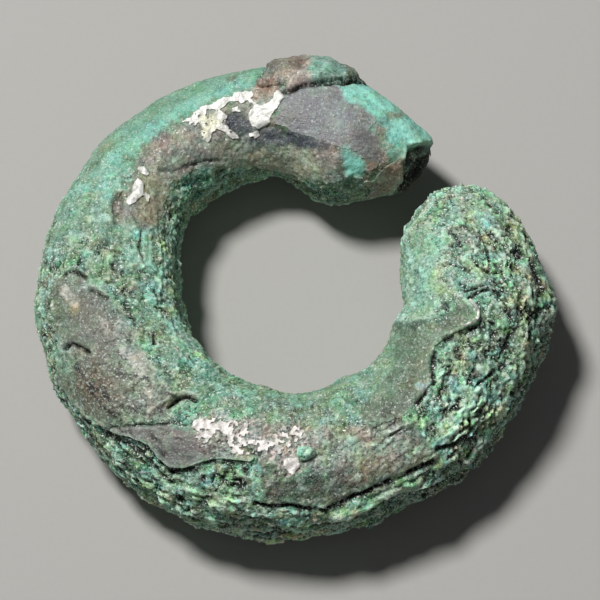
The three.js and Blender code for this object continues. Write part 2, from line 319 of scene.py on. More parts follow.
def grains(places, size, salt):
    # how far from the middle of a grain, 0 to about 1, and a shade for each grain
    scaled = places / size
    cell = np.floor(scaled)
    nearest = np.full(places.shape[:-1], 9.0)
    shade = np.zeros(places.shape[:-1])
    for offset in itertools.product((-1, 0, 1), repeat=3):
        neighbour = cell + np.array(offset)
        pick = scatter(neighbour, salt)
        middle = neighbour + 0.5 + strayGrain * slopes[pick]
        apart = np.sum((scaled - middle) ** 2, axis=-1)
        closer = apart < nearest
        nearest = np.where(closer, apart, nearest)
        shade = np.where(closer, shades[pick], shade)
    return np.sqrt(nearest), shade


wave = {size: swell(bare, size, salt) for salt, size in enumerate((3.1, 1.4, 0.7, 0.34, 0.17), 1)}


def bent(places, much, size):
    # places pushed about, so that what is laid over them doesn't look regular
    return places + much * wave[size][..., None]


def alongRod(stretch):
    # along, round and out from the rod in mm, for what runs along it
    return np.stack([np.radians(bearings) * rod["bendRadius"], np.radians(sideways) * rod["girthRadius"],
                     np.zeros((rows, columns))], axis=-1) / np.array([stretch, 1, 1])


coarseGrain, coarseShade = grains(bent(bare, 0.06, 0.34), 0.46, 11)
fineGrain, fineShade = grains(bent(bare, 0.03, 0.17), 0.24, 12)
longGrain, longShade = grains(bent(alongRod(2.6), 0.12, 0.7), 0.34, 14)
layered = swell(bent(alongRod(4.2), 0.35, 1.4), 0.75, 13)
tear = 0.11 * wave[0.7] + 0.08 * wave[0.34] + 0.05 * wave[0.17]  # mm that a torn edge wanders
print("unevenness made")


# outlines and lines in the photograph
tracing = {
    "outlineMargin": 40,  # pixels
    "lineMargin": 20,
    "farOutside": -2.0,  # mm, for places that aren't near
    "farFromLine": 9.0,
    "lineReach": 0.6,  # mm out of sight that a line goes
}


def pixelsNear(points, margin):
    low = points.min(axis=0) - margin
    high = points.max(axis=0) + margin
    return (photoX > low[0]) & (photoX < high[0]) & (photoY > low[1]) & (photoY < high[1])


def pixelsApart(x, y, points, ends):
    # how far each pixel is from the nearest stretch
    apart = np.full(x.shape, np.inf)
    for (ax, ay), (bx, by) in zip(points, ends):
        ex, ey = bx - ax, by - ay
        share = np.clip(((x - ax) * ex + (y - ay) * ey) / (ex * ex + ey * ey), 0, 1)
        apart = np.minimum(apart, (x - ax - share * ex) ** 2 + (y - ay - share * ey) ** 2)
    return np.sqrt(apart)


def outlineDepth(outline, rough=1.0):
    # mm inside an outline, less than 0 outside, with a torn edge
    corners = np.array(outline, float)
    ends = np.roll(corners, -1, axis=0)
    near = pixelsNear(corners, tracing["outlineMargin"])
    x = photoX[near]
    y = photoY[near]
    inside = np.zeros(x.shape, bool)
    for (ax, ay), (bx, by) in zip(corners, ends):
        if by != ay:
            inside ^= ((ay > y) != (by > y)) & (x < (bx - ax) * (y - ay) / (by - ay) + ax)
    depth = np.full((rows, columns), tracing["farOutside"])
    depth[near] = np.where(inside, 1, -1) * pixelsApart(x, y, corners, ends) / camera["scale"]
    return depth + rough * tear


def lineApart(line):
    # mm from a line, for places in sight or just beyond
    points = np.array(line, float)
    near = pixelsNear(points, tracing["lineMargin"]) & (hidden < tracing["lineReach"])
    apart = np.full((rows, columns), tracing["farFromLine"])
    apart[near] = pixelsApart(photoX[near], photoY[near], points, points[1:]) / camera["scale"]
    return apart


# torn sheet
# height: over the bare rod; lip: how much more its edge stands up; crease: how deep it is dented;
# rough: how torn its outline is; meet: 1 where the crust beside it comes up to its height;
# beside: how far from it the crust does so; carved: how much of the clefts it takes
ledge = {
    "node": "sheath_ledge",
    "slot": "tarnished_sheet",
    "outline": [(286, 53), (297, 48), (314, 48), (332, 55), (346, 56), (358, 62), (370, 73), (374, 83),
                (366, 85), (356, 80), (342, 79), (321, 81), (306, 81), (297, 86), (290, 89), (284, 88),
                (272, 85), (262, 89), (257, 85), (265, 75), (272, 63)],
    "height": 0.88,
    "lip": -0.4,
    "crease": 0.2,
    "overrun": 1.6,  # how far it carries on out of the photograph's sight
    "rough": 0.9,
    "meet": 0,
    "grit": 0.6,
    "carved": 0.2,
}
tongue = {
    "node": "sheath_tongue",
    "slot": "tarnished_sheet",
    "outline": [(109, 428), (126, 426), (145, 424), (163, 423), (179, 427), (193, 428), (200, 438),
                (226, 447), (245, 452), (256, 458), (250, 462), (228, 459), (212, 459), (198, 463),
                (182, 468), (170, 466), (159, 457), (149, 445), (130, 436), (114, 432)],
    "height": 0.49,
    "lip": 0.06,
    "crease": 0.02,
    "overrun": 0,
    "rough": 0.4,
    "meet": 0.3,
    "grit": 0.3,
}
darkPlate = {
    "node": "sheath_dark_plate",
    "slot": "dark_plate",
    "outline": [(283, 96), (290, 89), (305, 84), (320, 86), (339, 87), (346, 98), (362, 106), (375, 118),
                (371, 130), (383, 145), (383, 159), (370, 169), (364, 158), (351, 149), (328, 144),
                (309, 137), (290, 130), (276, 123), (277, 108)],
    "height": 0.44,
    "lip": 0.07,
    "crease": 0.06,
    "overrun": 0,
    "rough": 1.2,
    "meet": 0.8,
    "grit": 0.3,
}
squareEndRim = {
    "node": "sheath_square_end_rim",
    "slot": "tarnished_sheet",
    "outline": [(371, 190), (364, 182), (374, 179), (384, 168), (392, 163), (400, 158), (406, 166),
                (408, 172), (404, 180), (392, 190), (379, 196), (366, 197)],
    "height": 0.46,
    "lip": 0.04,
    "crease": 0.04,
    "overrun": 2.2,
    "rough": 0.8,
    "meet": 0.6,
    "grit": 0.65,
}
upperArc = {
    "node": "sheath_upper_arc",
    "slot": "tarnished_sheet",
    "outline": [(283, 86), (277, 84), (262, 86), (250, 90), (238, 97), (217, 103), (204, 108), (194, 116),
                (181, 124), (170, 128), (153, 139), (144, 150), (140, 163), (134, 174), (128, 188),
                (118, 196), (112, 212), (114, 224), (121, 226), (128, 235), (136, 228), (146, 237),
                (153, 226), (161, 221), (166, 200), (172, 184), (186, 174), (206, 168), (232, 166),
                (262, 166), (285, 172), (308, 180), (330, 182), (344, 176), (340, 158), (328, 147),
                (309, 140), (290, 134), (276, 126), (274, 108), (280, 98)],
    "height": 0.45,
    "lip": 0.03,
    "crease": 0.07,
    "overrun": 0.3,
    "rough": 1.0,
    "meet": 0.9,
    "grit": 0.55,
}
leftSkin = {
    "node": "sheath_left",
    "slot": "tarnished_sheet",
    "outline": [(60, 276), (70, 272), (80, 272), (92, 281), (110, 299), (124, 316), (136, 336), (146, 358),
                (158, 376), (176, 388), (192, 396), (184, 404), (170, 414), (164, 420), (146, 422),
                (110, 425), (98, 424), (84, 412), (72, 400), (60, 380), (58, 356), (60, 340), (52, 318),
                (52, 296)],
    "height": 0.45,
    "lip": 0.05,
    "crease": 0.06,
    "overrun": 0.2,
    "rough": 1.3,
    "meet": 1,
    "grit": 0.8,
}
lowerArc = {
    "node": "sheath_lower_arc",
    "slot": "tarnished_sheet",
    "outline": [(192, 426), (206, 418), (226, 418), (250, 424), (276, 422), (306, 424), (330, 430),
                (356, 428), (380, 424), (398, 420), (414, 424), (420, 436), (430, 446), (434, 458),
                (424, 466), (400, 476), (372, 488), (350, 497), (325, 508), (290, 504), (262, 500),
                (258, 480), (256, 462), (230, 455), (204, 460)],
    "height": 0.45,
    "lip": 0.04,
    "crease": 0.08,
    "overrun": 0,
    "rough": 1.4,
    "meet": 1,
    "beside": 0.9,
    "grit": 0.9,
}
rightPlate = {
    "node": "sheath_right",
    "slot": "tarnished_sheet",
    "outline": [(398, 327), (420, 322), (440, 325), (452, 312), (464, 300), (472, 306), (477, 318),
                (470, 326), (458, 332), (445, 338), (436, 347), (431, 358), (431, 372), (432, 382),
                (425, 392), (415, 405), (404, 416), (384, 424), (366, 422), (356, 414), (372, 398),
                (388, 376), (396, 352)],
    "height": 0.5,
    "lip": 0.08,
    "crease": 0.03,
    "overrun": 1.6,
    "rough": 0.5,
    "meet": 0.8,
    "grit": 0.55,
}
sheets = [ledge, tongue, darkPlate, squareEndRim, upperArc, leftSkin, lowerArc, rightPlate]
sheetLook = {
    "beside": 0.3,
    "carved": 0.85,
    "sway": 0.09,
    "dents": 0.05,
    "lipWidth": 0.2,
    "least": 0.08,  # never thinner than this
    "overFoot": 0.05,  # stops this far above the bare metal
    "grooveDepth": 0.09,  # along an edge that the crust doesn't meet
    "grooveWidth": 0.14,
}

# crusts, each on its stretch of bearings, outside or inside the hoop
crusts = [
    {"node": "crust_square_end_top", "slot": "teal_crust", "side": "top", "from": 0, "to": 63},
    {"node": "crust_square_end", "slot": "teal_crust", "side": "outer", "from": 0, "to": 84},
    {"node": "crust_upper_shoulder", "slot": "teal_crust", "side": "outer", "from": 84, "to": 162},
    {"node": "crust_left_side", "slot": "pale_crust", "side": "outer", "from": 162, "to": 182},
    {"node": "crust_left_rim", "slot": "pale_crust", "side": "outer", "from": 182, "to": 205},
    {"node": "crust_lower_left", "slot": "dark_crust", "side": "outer", "from": 205, "to": 263},
    {"node": "crust_lower_side", "slot": "dark_crust", "side": "outer", "from": 263, "to": 312},
    {"node": "crust_right_side", "slot": "dark_crust", "side": "outer", "from": 312, "to": 352},
    {"node": "crust_round_end", "slot": "dark_crust", "side": "outer", "from": 352, "to": 400},
    {"node": "crust_inner_upper", "slot": "dark_crust", "side": "inner", "from": 0, "to": 148},
    {"node": "crust_inner_left", "slot": "pale_crust", "side": "inner", "from": 148, "to": 237},
    {"node": "crust_inner_lower", "slot": "teal_crust", "side": "inner", "from": 237, "to": 339},
    {"node": "crust_round_end_inner", "slot": "pale_crust", "side": "inner", "from": 339, "to": 400},
]

crustLook = {
    "broadSwell": 0.04,
    "smallSwell": 0.03,
    "coarse": 0.14,
    "fine": 0.13,
    "layers": 0.15,
    "steps": 3.5,  # how many layers show
    "crevices": 0.16,
    "lost": 0.26,  # how deep flakes have fallen out
    "footDrop": 0.16,  # it thins out towards the bare metal
    "least": 0.07,
    # bearings, and how far the outside stands above the CAD crust
    "outerRaise": [(47, 0), (100, 0.05), (140, 0.06), (165, 0.04), (190, -0.02), (210, -0.1), (228, -0.15),
                   (248, -0.07), (270, 0), (395, 0)],
    # bearings, and where the crust stops low on the outside and inside, degrees round the rod
    "outerFoot": [(47, -2), (92, -18), (186, -25), (256, -43), (344, -36), (395, -30)],
    "innerFoot": [(47, 191), (92, 205), (151, 216), (326, 216), (395, 206)],
    # bearings, and how granular the crust is outside and inside the hoop
    "outerGrit": [(47, 0.2), (90, 0.25), (135, 0.3), (160, 0.55), (175, 0.95), (200, 0.9), (230, 1.1),
                  (300, 1.2), (350, 1.25), (372, 1.05), (395, 0.95)],
    "innerGrit": [(47, 0.6), (90, 0.7), (140, 0.8), (180, 0.8), (230, 0.7), (280, 0.5), (325, 0.5),
                  (345, 0.85), (395, 0.85)],
}


def alongHoop(table):
    table = np.array(table, float)
    return np.interp(bearings, table[:, 0], table[:, 1])


roughSideways = sideways + 10 * wave[1.4]
inward = ramp(roughSideways, 75, 125)
grit = alongHoop(crustLook["outerGrit"]) * (1 - inward) + alongHoop(crustLook["innerGrit"]) * inward
grit *= np.clip(1 + 0.35 * wave[1.4] + 0.3 * wave[0.7], 0.4, 1.3)

# outlines named more than once
duskyHollow = [(230, 122), (244, 112), (252, 126), (270, 128), (290, 128), (314, 136), (334, 146), (338, 152),
               (316, 150), (290, 144), (262, 143), (240, 138)]
paleInside = [(128, 228), (162, 232), (170, 262), (180, 300), (198, 340), (218, 374), (206, 378), (180, 352),
              (160, 322), (146, 290), (132, 262)]
mintPatch = [(60, 357), (70, 353), (78, 358), (77, 370), (64, 371)]

# calmer places: how much of the grit stays, how soft the edge is in mm, and the outline
calmPlaces = [
    (0.35, 0.25, duskyHollow),
    (0.75, 0.7, [(402, 242), (412, 226), (428, 222), (444, 250), (442, 284), (440, 306), (432, 320),
                 (400, 323), (398, 290)]),
    (0.4, 0.3, [(339, 150), (348, 148), (356, 154), (366, 162), (362, 174), (352, 178), (340, 172)]),
    (0.88, 0.6, [(40, 212), (90, 203), (120, 212), (130, 234), (128, 284), (96, 272), (66, 268),
                 (40, 262)]),
    (0.55, 0.6, [(58, 286), (90, 288), (110, 318), (112, 348), (90, 358), (64, 344)]),
]
calm = np.ones((rows, columns))
for share, soft, outline in calmPlaces:
    calm *= 1 - (1 - share) * ramp(outlineDepth(outline), -soft, soft)
grit *= calm

# clefts and cracks: how wide and deep in mm, and their pixels
clefts = [
    (0.08, 0.3, [(65, 275), (70, 272), (78, 273), (86, 278)]),
    (0.09, 0.22, [(91, 290), (99, 294), (109, 299)]),
    (0.08, 0.34, [(66, 350), (69, 346), (73, 344), (80, 347), (89, 352)]),
    (0.08, 0.46, [(168, 408), (174, 403), (180, 399), (187, 397), (197, 400)]),
    (0.08, 0.25, [(465, 291), (474, 288), (483, 285)]),
    (0.09, 0.28, [(469, 298), (478, 292), (488, 287)]),
    (0.14, 0.36, [(475, 327), (459, 334), (445, 340), (437, 349), (433, 359), (432, 372), (434, 382),
                  (426, 392), (416, 405)]),
    (0.14, 0.36, [(438, 449), (451, 447), (464, 441)]),
    (0.16, 0.4, [(256, 505), (287, 506), (310, 510), (325, 511), (348, 500), (371, 490), (396, 478),
                 (420, 468), (434, 462)]),
    (0.12, 0.15, [(145, 447), (158, 460), (170, 469), (182, 470), (198, 466), (212, 461), (228, 462),
                 (252, 464)]),
    (0.16, 0.34, [(284, 92), (291, 91), (298, 87), (306, 84), (322, 84), (342, 83), (356, 79), (369, 81)]),
    (0.07, 0.16, [(111, 428), (130, 426), (150, 425), (170, 424)]),
    (0.1, 0.11, [(160, 170), (172, 172), (186, 167), (206, 161), (226, 160)]),
    (0.1, 0.2, [(300, 528), (330, 524), (356, 515)]),
    (0.1, 0.12, [(118, 442), (136, 452), (152, 468), (170, 484)]),
    (0.08, 0.2, [(404, 427), (398, 431), (390, 436)]),
    (0.07, 0.16, [(142, 232), (140, 246), (143, 258)]),
    (0.08, 0.24, [(154, 334), (155, 343)]),
    (0.1, 0.3, [(496, 372), (488, 377), (480, 384)]),
    (0.12, 0.3, [(532, 258), (540, 272), (545, 290)]),
    (0.1, 0.24, [(470, 420), (474, 430), (468, 440)]),
]
# raised lips and ridges, the same way
ridges = [
    (0.13, 0.14, [(148, 411), (158, 405), (166, 400), (176, 394), (188, 392), (198, 397)]),
    (0.07, 0.1, [(471, 303), (476, 308), (479, 313), (479, 319), (475, 324), (463, 326)]),
    (0.2, 0.24, [(333, 517), (350, 512), (364, 508), (378, 499), (396, 491), (413, 486), (441, 478)]),
    (0.12, 0.14, [(390, 434), (400, 428), (410, 424)]),
    (0.12, 0.12, [(284, 88), (291, 86), (298, 82), (305, 76)]),
    (0.1, 0.1, [(404, 241), (412, 226), (425, 210), (441, 196), (455, 194)]),
    (0.1, 0.16, [(439, 141), (425, 143), (412, 145), (407, 151), (404, 160)]),
]
# hollows: how deep, how soft the edge is in mm, and the outline
hollows = [
    (0.16, 0.15, [(258, 128), (268, 124), (284, 128), (291, 136), (284, 142), (268, 142), (258, 136)]),
    (0.12, 0.12, [(226, 116), (238, 112), (250, 122), (252, 134), (242, 138), (230, 130)]),
    (0.18, 0.12, [(113, 196), (122, 194), (124, 206), (121, 222), (115, 226), (112, 212)]),
    (0.7, 0.25, [(410, 147), (424, 144), (444, 141), (444, 160), (424, 182), (408, 190), (404, 176),
                 (405, 166), (408, 152)]),
    (0.1, 0.1, mintPatch),
]


def stones(apart, shade):
    # lone grains that stand up by different amounts
    return (1 - ramp(apart, 0.12, 0.62)) * (0.2 + 0.8 * shade) - 0.28


# along the bottom the grain runs with the hoop
streaked = band(bearings, (205, 225), (318, 335)) * (1 - ramp(roughSideways, 38, 62))
roundStones = stones(coarseGrain, coarseShade)
longStones = stones(longGrain, longShade)
gravel = crustLook["coarse"] * (roundStones + (1.3 * longStones - roundStones) * streaked)
gravel += crustLook["fine"] * stones(fineGrain, fineShade)
rugged = ramp(bearings, 205, 240) * (1 - inward)
# thin crevices that run with the rod along the bottom and the right
split = swell(bent(alongRod(5), 0.3, 0.7), 0.8, 17)
crevices = (1 - ramp(np.abs(split), 0.03, 0.13)) * ramp(grit, 0.8, 1.1)
crevices *= ramp(wave[1.4] + 0.6 * wave[0.7], -0.3, 0.3)


def crustHeight():
    height = lumps + alongHoop(crustLook["outerRaise"]) * (1 - inward)
    height = height + crustLook["broadSwell"] * wave[1.4] + crustLook["smallSwell"] * wave[0.7]
    height = height + grit * gravel
    steps = layered * crustLook["steps"]
    shelf = np.floor(steps) + ramp(steps - np.floor(steps), 0.5, 0.9)
    height = height + grit * crustLook["layers"] * (shelf / crustLook["steps"])
    lost = ramp(wave[0.7] + 0.7 * wave[0.34], 0.5, 1) * (0.25 + 0.55 * rugged)
    height = height - crustLook["lost"] * lost - crustLook["crevices"] * crevices
    return height + (0.03 + 0.04 * grit) * wave[0.34] + (0.01 + 0.04 * grit) * wave[0.17]


cleftLook = {
    "broad": 0.11,  # a broader cleft opens and closes along its length
    "leastOpen": 0.3,
    "wholeWander": 0.13,  # a narrower cleft wanders less
    # a cleft's painted shade deepens with its depth
    "darkest": 0.22,  # as deep as this it is quite black
}
openHere = ramp(wave[0.7] + 0.8 * wave[0.34], -0.5, 0.15)
openHere = cleftLook["leastOpen"] + (1 - cleftLook["leastOpen"]) * openHere


def gaping(width):
    return openHere if width > cleftLook["broad"] else 1


def cleftApart(width, line):
    wander = (0.05 * wave[0.34] + 0.04 * wave[0.7]) * min(1, width / cleftLook["wholeWander"])
    return np.maximum(lineApart(line) + wander, 0)


def carve():
    height = np.zeros((rows, columns))
    for width, depth, line in clefts:
        height -= depth * gaping(width) * np.exp(-(cleftApart(width, line) / width) ** 2)
    for width, rise, line in ridges:
        apart = np.maximum(lineApart(line) + 0.04 * wave[0.34], 0)
        height += rise * np.exp(-(apart / width) ** 2) * (1 + 0.5 * wave[0.7])
    for depth, soft, outline in hollows:
        height -= depth * ramp(outlineDepth(outline, 0.5), -soft, soft)
    return height


carved = carve()

# the bare metal shows on the underside and on the broken square end, but not under the round end
foot = np.maximum(alongHoop(crustLook["outerFoot"]) - sideways, sideways - alongHoop(crustLook["innerFoot"]))
footDepth = np.radians(foot) * rod["girthRadius"] + 2.2 * tear + 0.3 * wave[1.4]
footDepth -= ramp(rowLean, 20, 70)[:, None] * 6
brokenFace = {"lean": -47, "radius": 2}  # rows that lean further are on the face
endFace = -np.radians(rowLean[:, None] - brokenFace["lean"]) * brokenFace["radius"] + 1.2 * tear
bareDepth = np.maximum(footDepth, endFace)

for sheet in sheets:
    depth = outlineDepth(sheet["outline"], sheet["rough"])
    depth = np.minimum(depth, sheet["overrun"] + 0.25 - hidden + 2 * tear)
    sheet["depth"] = np.minimum(depth, -bareDepth - sheetLook["overFoot"])
print("outlines traced")


# sharing the surface out
def cellMean(field):
    field = field + np.roll(field, -1, axis=1)
    return (field[1:] + field[:-1]) / 4


def pinches(cells):
    # where two cells meet at a corner only, either way
    right = np.roll(cells, -1, axis=1)
    falling = cells[:-1] & right[1:] & ~right[:-1] & ~cells[1:]
    rising = cells[1:] & right[:-1] & ~cells[:-1] & ~right[1:]
    return falling, rising


def tidy(cells):
    # drops specks and fills in at lone corners, so that every fragment closes
    for _ in range(2):
        beside = np.roll(cells, 1, axis=1).astype(int) + np.roll(cells, -1, axis=1)
        beside[1:] += cells[:-1]
        beside[:-1] += cells[1:]
        cells = cells & (beside > 1)
    while True:
        falling, rising = pinches(cells)
        if not (falling.any() or rising.any()):
            return cells
        cells = cells.copy()
        cells[1:] |= falling
        cells[:-1] |= rising


def unpinched(cells):
    # drops a cell at each lone corner
    while True:
        falling, rising = pinches(cells)
        if not (falling.any() or rising.any()):
            return cells
        cells = cells.copy()
        cells[:-1] &= ~falling
        cells[1:] &= ~rising


# degrees round the rod where the crusts change: over the square end, and to the inside
seams = {"topFrom": 55, "topTo": 125, "inside": 98}
free = np.ones((rows - 1, columns), bool)
bareCells = tidy(cellMean(bareDepth) > 0)
free &= ~bareCells
for sheet in sheets:
    sheet["cells"] = tidy((cellMean(sheet["depth"]) > 0) & free)
    free &= ~sheet["cells"]
cellBearing = cellMean(bearings)
cellSide = (around + 180 / columns)[None, :]
for crust in crusts:
    here = (cellBearing >= crust["from"]) & (cellBearing < crust["to"])
    if crust["side"] == "top":
        here &= (cellSide > seams["topFrom"]) & (cellSide < seams["topTo"])
    elif crust["side"] == "outer":
        here &= cellSide < seams["inside"]
    crust["cells"] = unpinched(here & free)
    free &= ~crust["cells"]


def cornerAny(cells):
    # vertices that touch a cell
    touch = np.zeros((rows, columns), bool)
    touch[:-1] |= cells
    touch[1:] |= cells
    return touch | np.roll(touch, 1, axis=1)


furthestDrawn = 0.45  # of a cell, so that no two vertices meet


def drawnOnto(depth, cells):
    # how far vertices on a torn edge move, to lie on the edge itself
    edge = cornerAny(cells) & cornerAny(~cells)
    slopeAlong = np.gradient(depth, axis=0)
    slopeAcross = (np.roll(depth, -1, axis=1) - np.roll(depth, 1, axis=1)) / 2
    steep = np.maximum(slopeAlong ** 2 + slopeAcross ** 2, 1e-6)
    along = np.clip(-depth * slopeAlong / steep, -furthestDrawn, furthestDrawn)
    across = np.clip(-depth * slopeAcross / steep, -furthestDrawn, furthestDrawn)
    moved = along[..., None] * onwardStep + across[..., None] * crossStep
    return np.where(edge[..., None], moved, 0)


# one shift for all the pieces; where two edges share a vertex the later one in the list counts
shift = np.zeros((rows, columns, 3))
edges = [(sheet["depth"], sheet["cells"]) for sheet in reversed(sheets)] + [(bareDepth, bareCells)]
for depth, cells in edges:
    moved = drawnOnto(depth, cells)
    shift = np.where(np.abs(moved).sum(axis=-1, keepdims=True) > 0, moved, shift)

# heights over the bare rod
crustTop = crustHeight() + carved
crustTop -= crustLook["footDrop"] * ramp(bareDepth, -0.35, 0)
gritHere = grit.copy()
sheetGravel = 0.7 * gravel + 0.05 * wave[0.34] + 0.03 * wave[0.17]
dents = ramp(wave[0.7] * 0.6 + wave[0.34] * 0.6, 0.5, 0.8)
for sheet in sheets:
    inside = np.maximum(sheet["depth"], 0)
    outside = np.maximum(-sheet["depth"], 0)
    top = sheet["height"] + sheetLook["sway"] * wave[3.1] + sheet["crease"] * (wave[1.4] + 0.6 * wave[0.7])
    top += sheet["grit"] * calm * sheetGravel + 0.01 * wave[0.34]
    top += sheet["lip"] * np.exp(-inside / sheetLook["lipWidth"]) - sheetLook["dents"] * dents
    top += carved * sheet.get("carved", sheetLook["carved"])
    sheet["top"] = np.maximum(top, sheetLook["least"])
    beside = np.exp(-(outside / sheet.get("beside", sheetLook["beside"])) ** 2)
    crustTop += (sheet["top"] - crustTop) * beside * sheet["meet"]
    groove = np.exp(-(outside / sheetLook["grooveWidth"]) ** 2)
    crustTop -= sheetLook["grooveDepth"] * groove * (1 - sheet["meet"])
    gritHere += (sheet["grit"] - gritHere) * ramp(sheet["depth"], -0.2, 0.15)
crustTop = np.maximum(crustTop, crustLook["least"])
gritHere *= calm

surface = crustTop.copy()
for sheet in reversed(sheets):
    surface = np.where(cornerAny(sheet["cells"]), sheet["top"], surface)
coreLook = {
    "broken": 0.35,  # how far the broken face is eaten away
    "highest": 0.02,  # away from it the metal stays below the CAD core's surface
    "drop": 0.03,
    "under": 0.02,  # how far it lies below its surface where something covers it
    "covers": 0.03,  # how far the undersides of the crusts and sheets stand over the bare rod
}
coreSkin = 0.03 * wave[1.4] + 0.02 * wave[0.7] + 0.015 * wave[0.34]
eaten = ramp(endFace, 0, 0.6) * (1 + 0.6 * wave[0.7] + 0.4 * wave[0.34]) * ramp(endFace, -0.2, 0.4)
coreSkin -= coreLook["broken"] * eaten
lowSkin = np.minimum(coreSkin, coreLook["highest"]) - coreLook["drop"]
coreSkin = np.where(endFace > -0.3, coreSkin, lowSkin)
surface = np.where(cornerAny(bareCells), coreSkin, surface)
nearby = {"spread": 0.35, "rise": 0.1}  # relief is 1 where the surface stands this much above what is near
relief = np.clip((surface - soften(surface, nearby["spread"] / rod["rowStep"])) / nearby["rise"], -1, 1)
print("heights set")

# colours, as places on the find
patinas = {
    "jade": (124, 184, 158), "mint": (150, 208, 182), "teal": (112, 180, 164), "verdigris": (128, 164, 138),
    "leaf": (104, 142, 112), "moss": (94, 116, 92), "deepGreen": (66, 92, 74), "olive": (114, 112, 88),
    "umber": (106, 94, 82), "mauve": (126, 116, 116), "rust": (122, 88, 68), "slate": (138, 136, 142),
    "chalk": (206, 206, 194), "cream": (196, 182, 134), "shadowBlack": (34, 32, 30), "pink": (166, 136, 124),
    "lime": (136, 160, 102), "bronze": (84, 78, 60), "sky": (150, 196, 200), "grey": (134, 134, 128),
    "moor": (178, 178, 152), "frost": (188, 222, 198), "dusk": (58, 62, 74), "lichen": (164, 198, 174),
    "ash": (150, 148, 140), "aqua": (150, 230, 214), "grass": (92, 150, 104), "sea": (84, 152, 138),
    "blush": (232, 214, 208), "pitch": (24, 42, 28),
}


def linear(colour):
    share = np.array(colour) / 255
    return np.where(share < 0.04045, share / 12.92, ((share + 0.055) / 1.055) ** 2.4)


def colourAlong(stops):
    places = [stop[0] for stop in stops]
    colours = np.array([linear(patinas[stop[1]]) for stop in stops])
    return np.stack([np.interp(bearings, places, colours[:, k]) for k in range(3)], axis=-1)


# bearings, and the colours between which the crust changes
outerColours = [(47, "mint"), (72, "teal"), (100, "jade"), (140, "jade"), (165, "verdigris"),
                (182, "verdigris"), (200, "leaf"), (215, "sea"), (240, "grass"), (280, "leaf"),
                (320, "verdigris"), (350, "leaf"), (375, "verdigris"), (395, "verdigris")]
innerColours = [(47, "olive"), (80, "moss"), (120, "moss"), (150, "verdigris"), (175, "jade"),
                (205, "lichen"), (235, "jade"), (270, "verdigris"), (310, "verdigris"), (335, "leaf"),
                (350, "lichen"), (395, "lichen")]
